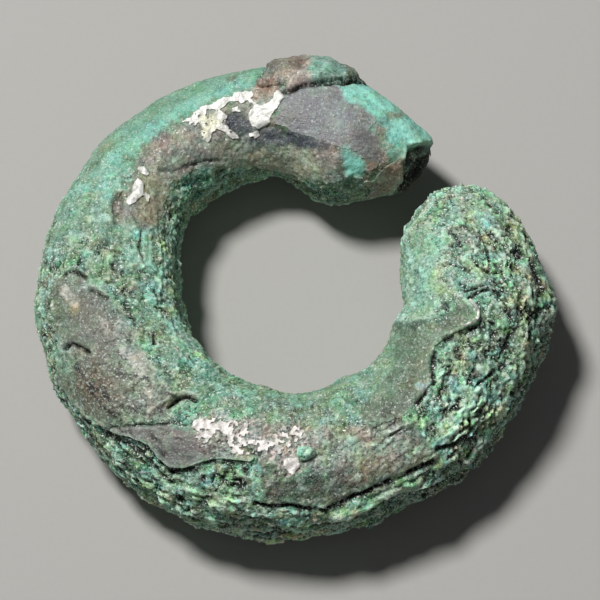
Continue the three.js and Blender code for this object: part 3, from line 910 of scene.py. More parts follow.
# colour, how strong, how soft the edge is in mm, and the outline
stains = [
    ("verdigris", 0.5, 0.4, [(84, 170), (104, 138), (130, 110), (160, 90), (190, 76), (220, 64), (250, 60),
                             (256, 70), (226, 78), (196, 90), (166, 106), (138, 128), (116, 152), (96, 182)]),
    ("aqua", 0.7, 0.35, [(96, 194), (104, 170), (124, 148), (142, 132), (160, 118), (180, 106), (204, 96),
                         (228, 86), (250, 80), (260, 84), (240, 94), (214, 102), (190, 114), (168, 128),
                         (150, 140), (140, 156), (132, 176), (120, 194), (108, 208)]),
    ("umber", 0.6, 0.35, upperArc["outline"]),
    ("mauve", 0.7, 0.3, upperArc["outline"]),
    ("pink", 0.6, 0.4, [(146, 148), (160, 138), (182, 130), (192, 134), (180, 146), (166, 160), (150, 168)]),
    # painted light: the upper arc's inner side, in shade from the lamp, painted paler
    ("moor", 0.85, 0.5, [(206, 142), (256, 144), (290, 140), (312, 150), (330, 166), (320, 180), (290, 172),
                         (256, 166), (226, 166)]),
    ("umber", 0.5, 0.5, [(196, 138), (216, 142), (230, 144), (226, 156), (206, 160), (184, 164),
                         (172, 160), (182, 146)]),
    ("rust", 0.5, 0.4, [(302, 138), (322, 142), (338, 150), (342, 168), (328, 172), (310, 160)]),
    ("cream", 0.7, 0.5, [(140, 172), (158, 172), (170, 184), (168, 206), (158, 224), (142, 224), (138, 198)]),
    ("umber", 0.4, 0.5, [(146, 178), (166, 176), (170, 196), (160, 222), (144, 222)]),
    ("rust", 0.8, 0.2, [(112, 194), (124, 192), (124, 208), (121, 226), (114, 226)]),
    ("dusk", 1.0, 0.15, duskyHollow),
    ("leaf", 0.8, 0.3, [(308, 176), (336, 182), (372, 190), (368, 200), (340, 200), (312, 190)]),
    ("slate", 1.0, 0.12, darkPlate["outline"]),
    ("mauve", 0.6, 0.3, [(356, 118), (372, 122), (382, 146), (382, 160), (370, 168), (360, 150)]),
    ("pink", 1.0, 0.2, [(318, 140), (340, 148), (362, 158), (386, 164), (380, 172), (362, 170), (344, 164),
                         (326, 156)]),
    ("pink", 0.6, 0.15, [(238, 134), (262, 134), (262, 140), (240, 140)]),
    ("aqua", 1.0, 0.18, [(339, 150), (348, 148), (354, 154), (364, 162), (362, 174), (352, 178), (342, 172)]),
    ("mauve", 1.0, 0.2, ledge["outline"]),
    ("aqua", 0.75, 0.2, [(307, 72), (314, 64), (328, 61), (342, 64), (343, 78), (322, 80), (308, 79)]),
    ("olive", 0.7, 0.2, [(344, 60), (356, 64), (360, 74), (346, 78)]),
    ("bronze", 0.8, 0.2, [(358, 66), (369, 72), (369, 80), (358, 76)]),
    ("pink", 0.8, 0.3, [(276, 78), (286, 60), (296, 50), (308, 50), (308, 66), (300, 78), (288, 88)]),
    ("blush", 0.75, 0.1, [(286, 91), (294, 84), (301, 78), (305, 68), (310, 66), (309, 79), (300, 88),
                          (292, 93)]),
    ("aqua", 1.0, 0.2, [(341, 87), (360, 82), (371, 89), (389, 99), (398, 111), (385, 119), (375, 116),
                        (362, 106), (349, 103)]),
    ("rust", 0.7, 0.15, [(390, 114), (402, 114), (401, 120), (390, 120)]),
    ("rust", 0.6, 0.15, [(406, 112), (416, 112), (416, 119), (407, 118)]),
    ("aqua", 0.9, 0.2, [(387, 123), (410, 118), (423, 127), (432, 138), (421, 142), (411, 147), (403, 157),
                         (391, 164), (386, 152), (389, 138)]),
    ("pink", 0.95, 0.25, squareEndRim["outline"]),
    ("umber", 0.4, 0.3, [(366, 190), (380, 184), (396, 176), (408, 170), (404, 184), (388, 196), (370, 200)]),
    # painted shadow: the broken square end, black where it faces away from the lamp
    ("shadowBlack", 1.0, 0.1, [(411, 147), (424, 144), (446, 140), (446, 162), (424, 186), (407, 186), (406, 168),
                        (408, 152)]),
    ("verdigris", 0.8, 0.5, [(36, 214), (70, 206), (110, 212), (128, 236), (128, 280), (96, 272), (60, 268),
                             (40, 262)]),
    ("lichen", 0.3, 0.6, [(44, 216), (90, 208), (116, 214), (120, 236), (96, 262), (60, 264), (42, 250)]),
    ("jade", 0.7, 0.5, [(128, 228), (150, 232), (158, 262), (168, 300), (186, 340), (206, 372), (226, 396),
                        (214, 402), (186, 380), (160, 344), (142, 300), (130, 262)]),
    ("aqua", 0.75, 0.3, [(132, 230), (146, 232), (152, 262), (160, 292), (172, 320), (190, 350), (206, 374),
                         (196, 370), (178, 346), (162, 322), (150, 294), (140, 262)]),
    ("grey", 0.5, 0.5, leftSkin["outline"]),
    ("umber", 0.75, 0.6, [(62, 290), (90, 290), (108, 320), (120, 352), (108, 372), (84, 368), (66, 340)]),
    ("mauve", 0.8, 0.6, [(70, 290), (92, 286), (110, 310), (124, 340), (140, 368), (150, 390), (130, 396),
                         (104, 380), (84, 352), (72, 320)]),
    ("rust", 0.8, 0.5, [(78, 368), (96, 364), (112, 380), (112, 400), (92, 404), (78, 388)]),
    ("umber", 0.7, 0.5, [(84, 400), (130, 392), (160, 400), (166, 418), (130, 424), (100, 424)]),
    ("umber", 0.8, 0.3, [(44, 286), (54, 284), (58, 312), (50, 320), (44, 308)]),
    ("sky", 0.8, 0.15, [(37, 334), (42, 334), (43, 346), (38, 347)]),
    ("mint", 0.9, 0.15, mintPatch),
    ("leaf", 0.6, 0.5, [(112, 300), (140, 300), (170, 350), (196, 380), (214, 402), (196, 404), (160, 372),
                        (130, 330)]),
    ("chalk", 0.5, 0.5, [(120, 330), (136, 340), (150, 366), (160, 384), (140, 392), (124, 372), (112, 346)]),
    ("mauve", 1.0, 0.15, tongue["outline"]),
    ("jade", 0.7, 0.25, [(163, 411), (180, 404), (196, 404), (196, 424), (188, 432), (172, 424)]),
    ("pink", 0.7, 0.2, [(148, 409), (166, 398), (180, 391), (198, 394), (198, 400), (182, 399), (166, 406),
                        (152, 413)]),
    ("deepGreen", 0.9, 0.3, [(92, 428), (112, 434), (132, 440), (150, 450), (158, 464), (136, 462),
                             (104, 446)]),
    ("jade", 0.6, 0.4, [(112, 464), (140, 466), (160, 478), (156, 492), (128, 484)]),
    ("ash", 0.8, 0.5, [(200, 424), (250, 420), (306, 422), (356, 426), (412, 426), (420, 450), (380, 466),
                       (330, 474), (262, 466), (230, 452), (204, 442)]),
    ("umber", 0.6, 0.5, [(262, 464), (300, 476), (340, 470), (380, 462), (424, 452), (430, 464), (400, 476),
                          (372, 488), (350, 497), (325, 507), (290, 502), (264, 498)]),
    ("mauve", 0.7, 0.3, [(258, 464), (280, 470), (296, 478), (292, 494), (266, 492)]),
    ("olive", 0.75, 0.5, [(318, 430), (350, 430), (380, 430), (400, 440), (380, 456), (340, 462),
                          (318, 450)]),
    ("rust", 0.45, 0.4, [(372, 456), (404, 450), (424, 456), (410, 472), (384, 474)]),
    ("grey", 0.6, 0.5, [(372, 408), (400, 398), (418, 396), (416, 412), (396, 428), (374, 428)]),
    ("verdigris", 0.7, 0.4, [(352, 446), (376, 446), (384, 456), (362, 460)]),
    ("jade", 0.8, 0.25, [(330, 514), (350, 508), (366, 502), (380, 495), (384, 503), (366, 512), (336, 520)]),
    ("verdigris", 0.8, 0.5, [(214, 384), (250, 394), (300, 396), (350, 388), (390, 360), (404, 330),
                             (424, 330), (410, 380), (370, 416), (300, 422), (240, 414)]),
    ("olive", 0.85, 0.5, [(404, 326), (440, 326), (462, 306), (474, 316), (440, 338), (430, 362), (424, 392),
                          (398, 402), (408, 362)]),
    ("lichen", 0.9, 0.7, [(402, 242), (412, 226), (432, 216), (450, 226), (456, 250), (450, 284), (448, 306),
                           (439, 320), (421, 319), (400, 323), (398, 290)]),
    ("mint", 0.7, 0.5, [(402, 256), (416, 246), (430, 262), (434, 290), (440, 312), (424, 318), (402, 320)]),
    ("grey", 0.45, 0.4, [(436, 290), (450, 286), (454, 306), (440, 312)]),
    ("ash", 0.6, 0.6, [(452, 196), (472, 192), (498, 206), (500, 240), (482, 262), (462, 250), (456, 222)]),
    ("moss", 0.6, 0.25, [(470, 216), (482, 216), (489, 240), (491, 262), (480, 268), (472, 250)]),
    ("olive", 0.4, 0.5, [(462, 222), (480, 222), (486, 262), (470, 290), (458, 276)]),
    ("umber", 0.6, 0.4, [(452, 308), (462, 300), (474, 306), (477, 320), (462, 328), (446, 334), (440, 326)]),
    ("jade", 0.75, 0.25, [(497, 300), (508, 298), (512, 312), (506, 322), (496, 318)]),
    ("lime", 0.4, 0.6, [(206, 380), (232, 378), (262, 388), (260, 404), (226, 402)]),
    ("jade", 0.5, 0.4, [(508, 246), (528, 246), (532, 268), (514, 272)]),
    ("umber", 0.95, 0.4, [(528, 256), (546, 262), (556, 300), (554, 320), (540, 300), (530, 276)]),
    ("grass", 0.6, 0.7, [(470, 284), (500, 284), (524, 320), (528, 352), (500, 380), (462, 372), (452, 344)]),
    ("jade", 0.4, 0.6, [(470, 330), (500, 336), (514, 366), (490, 392), (462, 376)]),
    ("teal", 0.45, 0.5, [(486, 396), (512, 384), (520, 400), (504, 428), (484, 420)]),
    ("lime", 0.8, 0.2, [(440, 457), (454, 456), (454, 467), (441, 468)]),
    ("lime", 0.5, 0.3, [(506, 376), (520, 380), (516, 394), (504, 388)]),
    ("deepGreen", 0.6, 0.5, [(536, 330), (556, 330), (546, 380), (520, 428), (504, 430), (530, 380)]),
    ("bronze", 0.5, 0.5, [(404, 480), (444, 466), (466, 462), (440, 494), (404, 508)]),
    ("lichen", 0.4, 0.9, [(150, 474), (220, 486), (300, 512), (380, 496), (440, 440), (484, 400), (524, 376),
                          (536, 400), (490, 462), (420, 510), (320, 538), (220, 530), (150, 500)]),
    ("lichen", 0.4, 0.6, paleInside),
    ("leaf", 0.6, 0.3, [(86, 228), (112, 223), (125, 236), (121, 250), (96, 250)]),
    ("leaf", 0.45, 0.35, [(138, 112), (148, 100), (166, 94), (172, 102), (158, 112), (142, 122)]),
    ("moss", 0.35, 0.3, [(84, 176), (92, 160), (100, 148), (106, 154), (98, 170), (90, 184)]),
    ("rust", 0.35, 0.2, [(100, 148), (108, 138), (112, 142), (104, 152)]),
    ("pink", 0.35, 0.15, [(214, 79), (234, 76), (240, 80), (224, 84)]),
    ("leaf", 0.55, 0.4, [(388, 332), (404, 326), (436, 326), (437, 342), (412, 354), (388, 352)]),
    ("verdigris", 0.5, 0.4, [(374, 360), (390, 354), (404, 362), (398, 376), (382, 382), (372, 374)]),
    ("umber", 0.4, 0.4, [(364, 398), (392, 392), (414, 396), (408, 410), (384, 420), (362, 416)]),
    ("lichen", 0.65, 0.3, [(212, 384), (238, 389), (254, 396), (256, 404), (236, 404), (218, 398)]),
    ("olive", 0.7, 0.4, [(252, 399), (312, 400), (330, 396), (334, 410), (300, 420), (260, 420)]),
]
# the same, for stains that lie over the mottling
lateStains = [
    ("mauve", 0.3, 0.9, leftSkin["outline"]),
    ("umber", 0.45, 0.8, [(64, 284), (84, 284), (100, 310), (112, 344), (100, 352), (76, 330)]),
    ("chalk", 0.35, 0.5, [(112, 330), (134, 338), (150, 366), (166, 392), (146, 400), (126, 376)]),
    ("rust", 0.35, 0.6, [(78, 368), (98, 364), (112, 382), (110, 402), (92, 404)]),
    ("umber", 0.4, 0.5, [(84, 352), (108, 356), (150, 392), (166, 410), (130, 422), (96, 420), (80, 392)]),
    ("pink", 0.55, 0.3, [(276, 78), (286, 58), (298, 52), (307, 54), (307, 66), (300, 78), (288, 88)]),
    ("umber", 0.75, 0.15, [(262, 88), (270, 66), (286, 52), (300, 46), (318, 46), (336, 54), (348, 55),
                           (360, 64), (369, 74), (360, 74), (346, 62), (334, 60), (316, 54), (300, 55),
                           (289, 62), (277, 74), (268, 90)]),
    ("blush", 0.8, 0.1, [(286, 91), (294, 84), (301, 78), (305, 68), (309, 66), (308, 79), (300, 87),
                         (292, 93)]),
    ("mauve", 0.6, 0.2, [(310, 138), (328, 142), (344, 150), (348, 166), (334, 170), (318, 158)]),
    ("blush", 0.55, 0.06, [(314, 141), (320, 142), (324, 146), (319, 147)]),
    ("blush", 0.45, 0.05, [(328, 148), (334, 151), (336, 157), (331, 153)]),
    ("pink", 0.4, 0.4, squareEndRim["outline"]),
    ("pink", 0.5, 0.15, [(374, 126), (384, 128), (388, 146), (387, 160), (380, 158), (378, 142)]),
    ("moss", 0.45, 0.4, rightPlate["outline"]),
    ("blush", 0.2, 0.5, [(306, 428), (340, 430), (364, 428), (400, 424), (414, 440), (396, 456), (352, 464),
                          (312, 466)]),
    ("lichen", 0.6, 0.12, [(338, 446), (352, 440), (363, 444), (356, 453), (344, 455)]),
    ("lichen", 0.7, 0.1, [(370, 446), (384, 443), (389, 452), (376, 457)]),
    ("lichen", 0.7, 0.08, [(352, 460), (358, 458), (360, 476), (354, 479)]),
    ("lichen", 0.5, 0.12, [(316, 452), (328, 447), (335, 456), (322, 463)]),
    ("lichen", 0.5, 0.12, [(396, 440), (409, 435), (413, 445), (400, 451)]),
    ("blush", 0.6, 0.1, [(419, 381), (429, 376), (434, 384), (427, 392), (418, 391)]),
    ("pink", 0.3, 0.5, [(340, 462), (380, 456), (420, 450), (424, 462), (400, 474), (360, 488), (330, 494)]),
    ("aqua", 0.8, 0.15, [(248, 464), (259, 464), (261, 488), (251, 488)]),
    ("moss", 0.25, 0.4, leftSkin["outline"]),
    ("umber", 0.25, 0.3, ledge["outline"]),
    # painted light: the upper arc lightened where it lies in shade from the lamp
    ("ash", 0.25, 0.5, upperArc["outline"]),
    ("chalk", 0.6, 0.1, [(63, 292), (68, 287), (74, 294), (77, 305), (71, 304), (67, 297)]),
    ("cream", 0.25, 0.1, [(66, 302), (74, 304), (80, 311), (74, 313)]),
    ("rust", 0.4, 0.4, [(78, 372), (98, 368), (110, 384), (104, 400), (84, 398)]),
    ("ash", 0.5, 0.25, [(106, 318), (114, 320), (126, 340), (120, 344), (110, 332)]),
    ("chalk", 0.5, 0.12, [(122, 348), (130, 350), (140, 366), (146, 380), (138, 378), (128, 362)]),
    ("chalk", 0.4, 0.1, [(98, 318), (102, 318), (110, 334), (106, 336)]),
    ("chalk", 0.4, 0.1, [(146, 384), (154, 388), (160, 398), (150, 396)]),
    ("dusk", 0.75, 0.2, [(222, 118), (236, 112), (246, 120), (250, 133), (264, 134), (282, 130), (304, 136),
                         (330, 144), (330, 150), (300, 147), (270, 147), (246, 143), (228, 133)]),
    ("pink", 0.6, 0.15, [(250, 97), (256, 86), (268, 80), (284, 85), (284, 94), (276, 92), (268, 104),
                         (258, 104)]),
    ("rust", 0.35, 0.12, [(254, 92), (262, 84), (272, 86), (266, 98), (256, 100)]),
    ("sea", 0.5, 0.3, [(174, 184), (192, 172), (206, 168), (206, 180), (198, 200), (184, 214), (174, 204)]),
    ("moss", 0.7, 0.15, [(345, 56), (358, 62), (366, 74), (366, 84), (356, 80), (345, 80)]),
    ("ash", 0.6, 0.1, [(352, 68), (358, 70), (359, 78), (353, 77)]),
    ("umber", 0.8, 0.12, [(358, 60), (372, 72), (376, 84), (366, 86), (361, 82), (363, 74)]),
    ("rust", 0.5, 0.1, [(364, 72), (371, 74), (375, 84), (367, 86)]),
    ("chalk", 0.4, 0.1, [(83, 282), (97, 284), (103, 291), (94, 291)]),
    ("frost", 0.7, 0.1, [(88, 218), (108, 216), (109, 221), (90, 224)]),
    ("frost", 0.6, 0.1, [(72, 233), (92, 234), (90, 239), (74, 240)]),
    ("frost", 0.6, 0.1, [(90, 253), (116, 252), (118, 260), (94, 261)]),
    ("sky", 0.5, 0.12, [(55, 252), (64, 252), (65, 262), (57, 263)]),
    ("frost", 0.7, 0.08, [(398, 318), (420, 314), (444, 312), (444, 317), (420, 320), (399, 323)]),
    ("deepGreen", 0.6, 0.1, [(399, 324), (420, 321), (446, 318), (444, 323), (420, 326), (400, 330)]),
    ("sky", 0.8, 0.08, [(415, 385), (424, 380), (432, 382), (431, 388), (424, 391), (416, 391)]),
    ("frost", 0.3, 0.5, [(410, 240), (445, 230), (450, 300), (410, 310)]),
    ("frost", 0.4, 0.4, [(456, 196), (486, 198), (492, 214), (476, 216), (456, 214)]),
]
# places paler or darker than the rest: most for their own tone, some brightened as painted light where they
# face away from the lamp; how much, how soft the edge is in mm, and the outline
toneAndLitPlaces = [
    (1.28, 0.5, paleInside),
    (1.15, 0.8, [(452, 200), (490, 204), (524, 240), (534, 280), (480, 276), (456, 240)]),
    (1.3, 0.8, [(436, 352), (480, 372), (522, 362), (506, 404), (450, 436), (426, 410)]),
    # painted light: the lower right, which faces away from the lamp, brightened
    (1.7, 0.7, [(400, 460), (450, 420), (500, 390), (512, 400), (486, 440), (452, 466), (400, 486)]),
    (1.35, 0.8, [(120, 470), (200, 484), (300, 510), (390, 490), (380, 512), (300, 536), (200, 524),
                 (130, 496)]),
    (0.87, 0.8, [(96, 170), (130, 110), (190, 74), (254, 62), (258, 84), (200, 104), (150, 140),
                 (110, 206)]),
    (0.88, 0.8, [(40, 214), (110, 206), (128, 236), (128, 280), (60, 268), (38, 262)]),
    # painted light: the upper arc's inner side, in shade from the lamp, brightened
    (1.25, 0.5, upperArc["outline"]),
    (1.2, 0.6, [(356, 430), (424, 424), (432, 456), (380, 484), (350, 470)]),
    (1.12, 0.6, [(86, 384), (150, 384), (164, 416), (104, 424), (84, 404)]),
    (0.9, 0.6, rightPlate["outline"]),
    (0.9, 0.3, ledge["outline"]),
    (1.4, 0.5, [(172, 184), (194, 170), (222, 162), (240, 168), (214, 186), (196, 206), (182, 222),
                (172, 212)]),
    (0.85, 0.4, [(76, 370), (98, 366), (112, 384), (104, 402), (82, 400)]),
    (1.12, 0.3, [(341, 87), (371, 89), (398, 111), (430, 140), (404, 157), (386, 150), (362, 106)]),
]
silverBed = [(190, 420), (214, 414), (244, 420), (268, 424), (300, 422), (312, 432), (306, 458), (304, 476),
             (288, 478), (276, 460), (246, 460), (224, 448), (200, 444)]
# mottling: colour, size in mm, salt and strength
sheetMottles = [
    ("olive", 0.9, 37, 0.5), ("ash", 0.7, 38, 0.5), ("pink", 0.6, 39, 0.4), ("umber", 0.8, 40, 0.5),
    ("verdigris", 1.2, 42, 0.4),
]
crustMottles = [
    ("grass", 1.3, 31, 0.75), ("aqua", 1.0, 32, 0.65), ("lime", 0.8, 33, 0.6), ("lichen", 0.9, 34, 0.5),
    ("sea", 1.1, 35, 0.6), ("umber", 0.8, 36, 0.35), ("olive", 0.6, 44, 0.45), ("sky", 0.5, 45, 0.4),
    ("rust", 0.5, 46, 0.25),
]
# colours of lone stones, by the shade that each one drew
stoneColours = [
    ("umber", 0, 0.07), ("deepGreen", 0.12, 0.3), ("grass", 0.34, 0.48), ("lime", 0.5, 0.6),
    ("lichen", 0.72, 0.84), ("mint", 0.84, 1.01),
]
stainLook = {
    "torn": 1.8,  # how torn the edges of stains are
    "bedTorn": 2.0,
    "toneAndLitTorn": 2.5,
    "keeps": 0.3,  # mm out of sight before stains begin to fade
    # how strong the rest is
    "stones": 0.35,
    "pits": 0.6,
    "crevices": 0.85,
    "flank": 0.6,
    "metal": 0.8,
}
# how much darker or brighter the crust gets: random patches and pale clusters, painted shade where it lies
# low and painted highlights where it stands up
shading = {"patches": 0.55, "bulges": 1.4, "shadedLows": 0.4, "litHighs": 1.5}
crystals = ramp(fineShade, 0.6, 0.78) * (1 - ramp(fineGrain, 0.22, 0.5))
pits = ramp(0.32 - fineShade, 0, 0.14) * (1 - ramp(fineGrain, 0.25, 0.55))


def mottle(size, salt):
    return ramp(swell(bare, size, salt) + 0.35 * wave[0.34], 0.12, 0.5)


def paintPatina():
    colour = colourAlong(outerColours) * (1 - inward[..., None])
    colour += colourAlong(innerColours) * inward[..., None]

    def lay(name, share):
        nonlocal colour
        share = np.clip(share, 0, 1)[..., None]
        colour = colour * (1 - share) + share * linear(patinas[name])

    def brighten(much, share):
        # in its own hue; darker where much is less than 1
        nonlocal colour
        colour = colour * (1 + (much - 1) * np.clip(share, 0, 1)[..., None])

    # the sheet first
    onSheet = np.max([ramp(sheet["depth"], -0.15, 0.15) for sheet in sheets], axis=0)
    lay("olive", 0.45 * ramp(wave[1.4] + 0.6 * wave[0.7], 0.2, 0.9))
    lay("lichen", 0.4 * ramp(-wave[1.4] + 0.7 * wave[0.34], 0.35, 0.9))
    onPlate = ramp(np.maximum(darkPlate["depth"], squareEndRim["depth"]), -0.15, 0.15)
    for name, size, salt, strength in sheetMottles:
        lay(name, onSheet * (1 - 0.8 * onPlate) * strength * mottle(size, salt))
    # stains wander and fade where the photograph can't see
    roam = (0.9 * wave[1.4] + 0.4 * wave[0.7]) * np.clip(hidden, 0, 1)
    fading = (0.7 + 0.5 * wave[1.4]) * np.maximum(hidden - stainLook["keeps"], 0)
    for name, strength, soft, outline in stains:
        lay(name, strength * ramp(outlineDepth(outline, stainLook["torn"]) + roam - fading, -soft, soft))
    # mottling over all of it, strongest where it is granular
    for name, size, salt, strength in crustMottles:
        lay(name, gritHere * strength * mottle(size, salt) * (1 - 0.85 * onSheet))
    for name, low, high in stoneColours:
        lay(name, gritHere * stainLook["stones"] * ((coarseShade >= low) & (coarseShade < high)))
    # random paler and darker patches, then painted shade in what lies low and painted highlights on what
    # stands up
    brighten(shading["patches"], gritHere * ramp(wave[0.7] + 0.8 * wave[0.34], 0.25, 0.8))
    raised = gritHere * (1 - 0.45 * onSheet) * (1 + 0.35 * rugged)
    bulges = raised * ramp(-wave[0.34] - 0.5 * wave[0.7], 0.15, 0.75)
    brighten(shading["bulges"], bulges)
    lay("frost", 0.25 * bulges)
    shadedLows = gritHere * ramp(-relief, 0.25, 1)
    brighten(shading["shadedLows"], shadedLows)
    lay("pitch", (0.3 + 0.2 * rugged) * shadedLows)
    litHighs = raised * ramp(relief, 0.2, 0.9)
    brighten(shading["litHighs"], litHighs)
    lay("frost", 0.35 * litHighs)
    patchy = 1 + 0.5 * wave[0.7] + 0.4 * wave[0.34]
    for name, strength, soft, outline in lateStains:
        lay(name, strength * patchy * ramp(outlineDepth(outline, stainLook["torn"]) + roam, -soft, soft))
    lay("pitch", gritHere * stainLook["pits"] * pits)
    # remains of silver round the lower flakes
    lace = ramp(np.abs(swell(bare, 0.3, 41) + 0.4 * wave[0.17]), 0.02, 0.2)
    bed = ramp(outlineDepth(silverBed, stainLook["bedTorn"]), -0.3, 0.3)
    lay("mauve", 0.4 * bed)
    lay("blush", 0.95 * (1 - lace) * bed)
    lay("chalk", gritHere * crystals * ramp(-wave[0.7] - 0.6 * wave[1.4] + 0.5 * wave[0.34], -0.5, 0.5))
    # clefts and crevices painted black by their depth, as painted shade, and ridges painted paler
    for width, depth, line in clefts:
        black = min(1, depth / cleftLook["darkest"]) * gaping(width)
        lay("shadowBlack", black * np.exp(-(cleftApart(width, line) / (0.8 * width)) ** 3))
    for width, rise, line in ridges:
        apart = np.maximum(lineApart(line) + 0.05 * wave[0.34], 0)
        lay("chalk", 0.5 * np.exp(-(apart / (0.7 * width)) ** 2) * ramp(wave[0.34], -0.5, 0.3))
    lay("shadowBlack", stainLook["crevices"] * crevices)
    # the low flank that the photograph shows in deep shade
    flank = band(bearings, (275, 300), (352, 366)) * (1 - ramp(sideways + 12 * wave[0.7], 4, 26))
    lay("pitch", stainLook["flank"] * flank)
    for much, soft, outline in toneAndLitPlaces:
        brighten(much, ramp(outlineDepth(outline, stainLook["toneAndLitTorn"]), -soft, soft))
    # bare metal
    lay("bronze", ramp(footDepth, -0.5, 0.3) * stainLook["metal"])
    # the broken end face painted black: dark broken metal under painted shadow
    lay("shadowBlack", ramp(endFace, -0.1, 0.1))
    return colour


patina = paintPatina()
print("patina painted")


# meshes
def vertexNumbers():
    numbers = np.arange(rows * columns).reshape(rows, columns)
    numbers[0] = 0
    numbers[-1] = (rows - 1) * columns
    return numbers


numbers = vertexNumbers()


def surfacePoints(height, drawn):
    points = bare + drawn + outward * height[..., None]
    points[..., 2] = np.maximum(points[..., 2], 0)
    return points


def filledMesh(name, points, loops, sizes):
    mesh = bpy.data.meshes.new(name)
    mesh.vertices.add(len(points))
    mesh.vertices.foreach_set("co", (points * mm).ravel())
    mesh.loops.add(len(loops))
    mesh.loops.foreach_set("vertex_index", loops)
    mesh.polygons.add(len(sizes))
    mesh.polygons.foreach_set("loop_start", np.concatenate([[0], np.cumsum(sizes)[:-1]]))
    mesh.update(calc_edges=True)
    mesh.validate()
    mesh.shade_smooth()
    return mesh


sharpFrom = 62  # degrees between two faces


def solidMesh(name, cells, top, bottom, drawn):
    # a closed solid over the cells: its top, its underside and walls where it stops
    i, j = np.nonzero(cells)
    k = (j + 1) % columns
    count = rows * columns
    a, b, c, d = numbers[i, j], numbers[i + 1, j], numbers[i + 1, k], numbers[i, k]
    faces = [np.stack([a, b, c, d], 1), np.stack([a, d, c, b], 1) + count]
    sides = [
        (a, b, ~np.roll(cells, 1, axis=1)[i, j]),
        (c, d, ~np.roll(cells, -1, axis=1)[i, j]),
        (b, c, ~np.append(cells[1:], np.zeros((1, columns), bool), axis=0)[i, j]),
        (d, a, ~np.append(np.zeros((1, columns), bool), cells[:-1], axis=0)[i, j]),
    ]
    for p, q, atRim in sides:
        p, q = p[atRim], q[atRim]
        faces.append(np.stack([q, p, p + count, q + count], 1)[p != q])
    faces = np.concatenate(faces)
    used, compact = np.unique(faces, return_inverse=True)
    compact = compact.reshape(faces.shape)
    # at a pole two corners of a quad fall together
    keep = np.ones(compact.shape, bool)
    for one, other, dropped in ((0, 3, 3), (1, 2, 2), (0, 1, 1), (2, 3, 3)):
        keep[compact[:, one] == compact[:, other], dropped] = False
    points = np.concatenate([
        surfacePoints(top, drawn).reshape(-1, 3), surfacePoints(bottom, drawn).reshape(-1, 3)])[used]
    mesh = filledMesh(name, points, compact[keep], keep.sum(axis=1))
    mesh.set_sharp_from_angle(angle=math.radians(sharpFrom))
    return mesh, used % count


def addFloat(mesh, name, values):
    mesh.attributes.new(name, "FLOAT", "POINT").data.foreach_set("value", values.ravel())


def dress(mesh, where, material, colour, reliefHere):
    rgba = np.ones((len(where), 4))
    rgba[:, :3] = colour.reshape(-1, 3)[where]
    mesh.attributes.new("patina", "FLOAT_COLOR", "POINT").data.foreach_set("color", rgba.ravel())
    addFloat(mesh, "relief", reliefHere.ravel()[where])
    addFloat(mesh, "grit", gritHere.ravel()[where])
    mesh.materials.append(material)


def place(name, mesh, node):
    piece = bpy.data.objects.new(name, mesh)
    bpy.context.scene.collection.objects.link(piece)
    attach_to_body(piece, "root")
    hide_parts(node)


# finishes
class Wire:
    # a socket to reckon with: each operator adds a Math node
    def __init__(self, tree, socket=None):
        self.tree = tree
        self.socket = socket

    def node(self, kind, settings=None, sockets=None, output=0):
        made = self.tree.nodes.new("ShaderNode" + kind)
        for key, value in (settings or {}).items():
            setattr(made, key, value)
        for key, value in (sockets or {}).items():
            if isinstance(value, Wire):
                self.tree.links.new(value.socket, made.inputs[key])
            else:
                made.inputs[key].default_value = value
        return Wire(self.tree, made.outputs[output])

    def reckon(self, operation, first, second, clamp=False):
        return self.node("Math", {"operation": operation, "use_clamp": clamp}, {0: first, 1: second})

    def __add__(self, other):
        return self.reckon("ADD", self, other)

    def __radd__(self, other):
        return self.reckon("ADD", other, self)

    def __sub__(self, other):
        return self.reckon("SUBTRACT", self, other)

    def __rsub__(self, other):
        return self.reckon("SUBTRACT", other, self)

    def __mul__(self, other):
        return self.reckon("MULTIPLY", self, other)

    def __rmul__(self, other):
        return self.reckon("MULTIPLY", other, self)

    def clamped(self):
        return self.reckon("ADD", self, 0.0, clamp=True)

    def threads(self, width):
        # thin wandering lines, where a noise crosses its middle
        apart = self.reckon("ABSOLUTE", self - 0.5, 0.0)
        return 1.0 - apart.between(0.0, width)

    def between(self, low, high):
        return self.node("MapRange", {"interpolation_type": "SMOOTHSTEP"}, {0: self, 1: low, 2: high})

    def blend(self, first, second, how="MIX"):
        # this socket is the factor between two colours
        return self.node("Mix", {"data_type": "RGBA", "blend_type": how}, {0: self, 6: first, 7: second}, 2)


def shade(name):
    return (*linear(patinas[name]), 1)


def startFinish(name, **constants):
    material = bpy.data.materials.new(name)
    material.use_nodes = True
    tree = material.node_tree
    shader = tree.nodes["Principled BSDF"]
    for socket, value in constants.items():
        shader.inputs[socket.replace("_", " ")].default_value = value
    return material, Wire(tree), shader


def attach(shader, **wires):
    for socket, wire in wires.items():
        wire.tree.links.new(wire.socket, shader.inputs[socket.replace("_", " ")])


def millimetres(start):
    metres = start.node("TexCoord", output=3)
    return metres.node("VectorMath", {"operation": "SCALE"}, {0: metres, "Scale": 1 / mm})


def noise(position, scale, detail, roughness):
    return position.node("TexNoise", None, {"Vector": position, "Scale": scale, "Detail": detail,
                                             "Roughness": roughness})


def stored(start, name):
    # a value that each mesh carries
    return start.node("Attribute", {"attribute_name": name}, output=2)


def storedPatina(start):
    return start.node("Attribute", {"attribute_name": "patina"})


textures = {  # how many to the mm, detail and roughness
    "fine": (6.0, 3.0, 0.62),
    "powder": (13.0, 2.0, 0.6),
    "cloud": (1.7, 4.0, 0.6),
    "brushed": (1.5, 3.0, 0.7),
    "green": (1.4, 4.0, 0.62),
    "cracks": (2.3, 3.0, 0.6),
    "holes": (5.5, 2.0, 0.5),
    "glints": (4.4, 2.0, 0.6),
    "glintPlaces": (2.9, 2.0, 0.5),
    "specks": (9.0, 1.0, 0.5),
    "silver": (8.0, 3.0, 0.6),
    "silverPits": (4.5, 3.0, 0.6),
    "paper": (3.0, 3.0, 0.6),
}
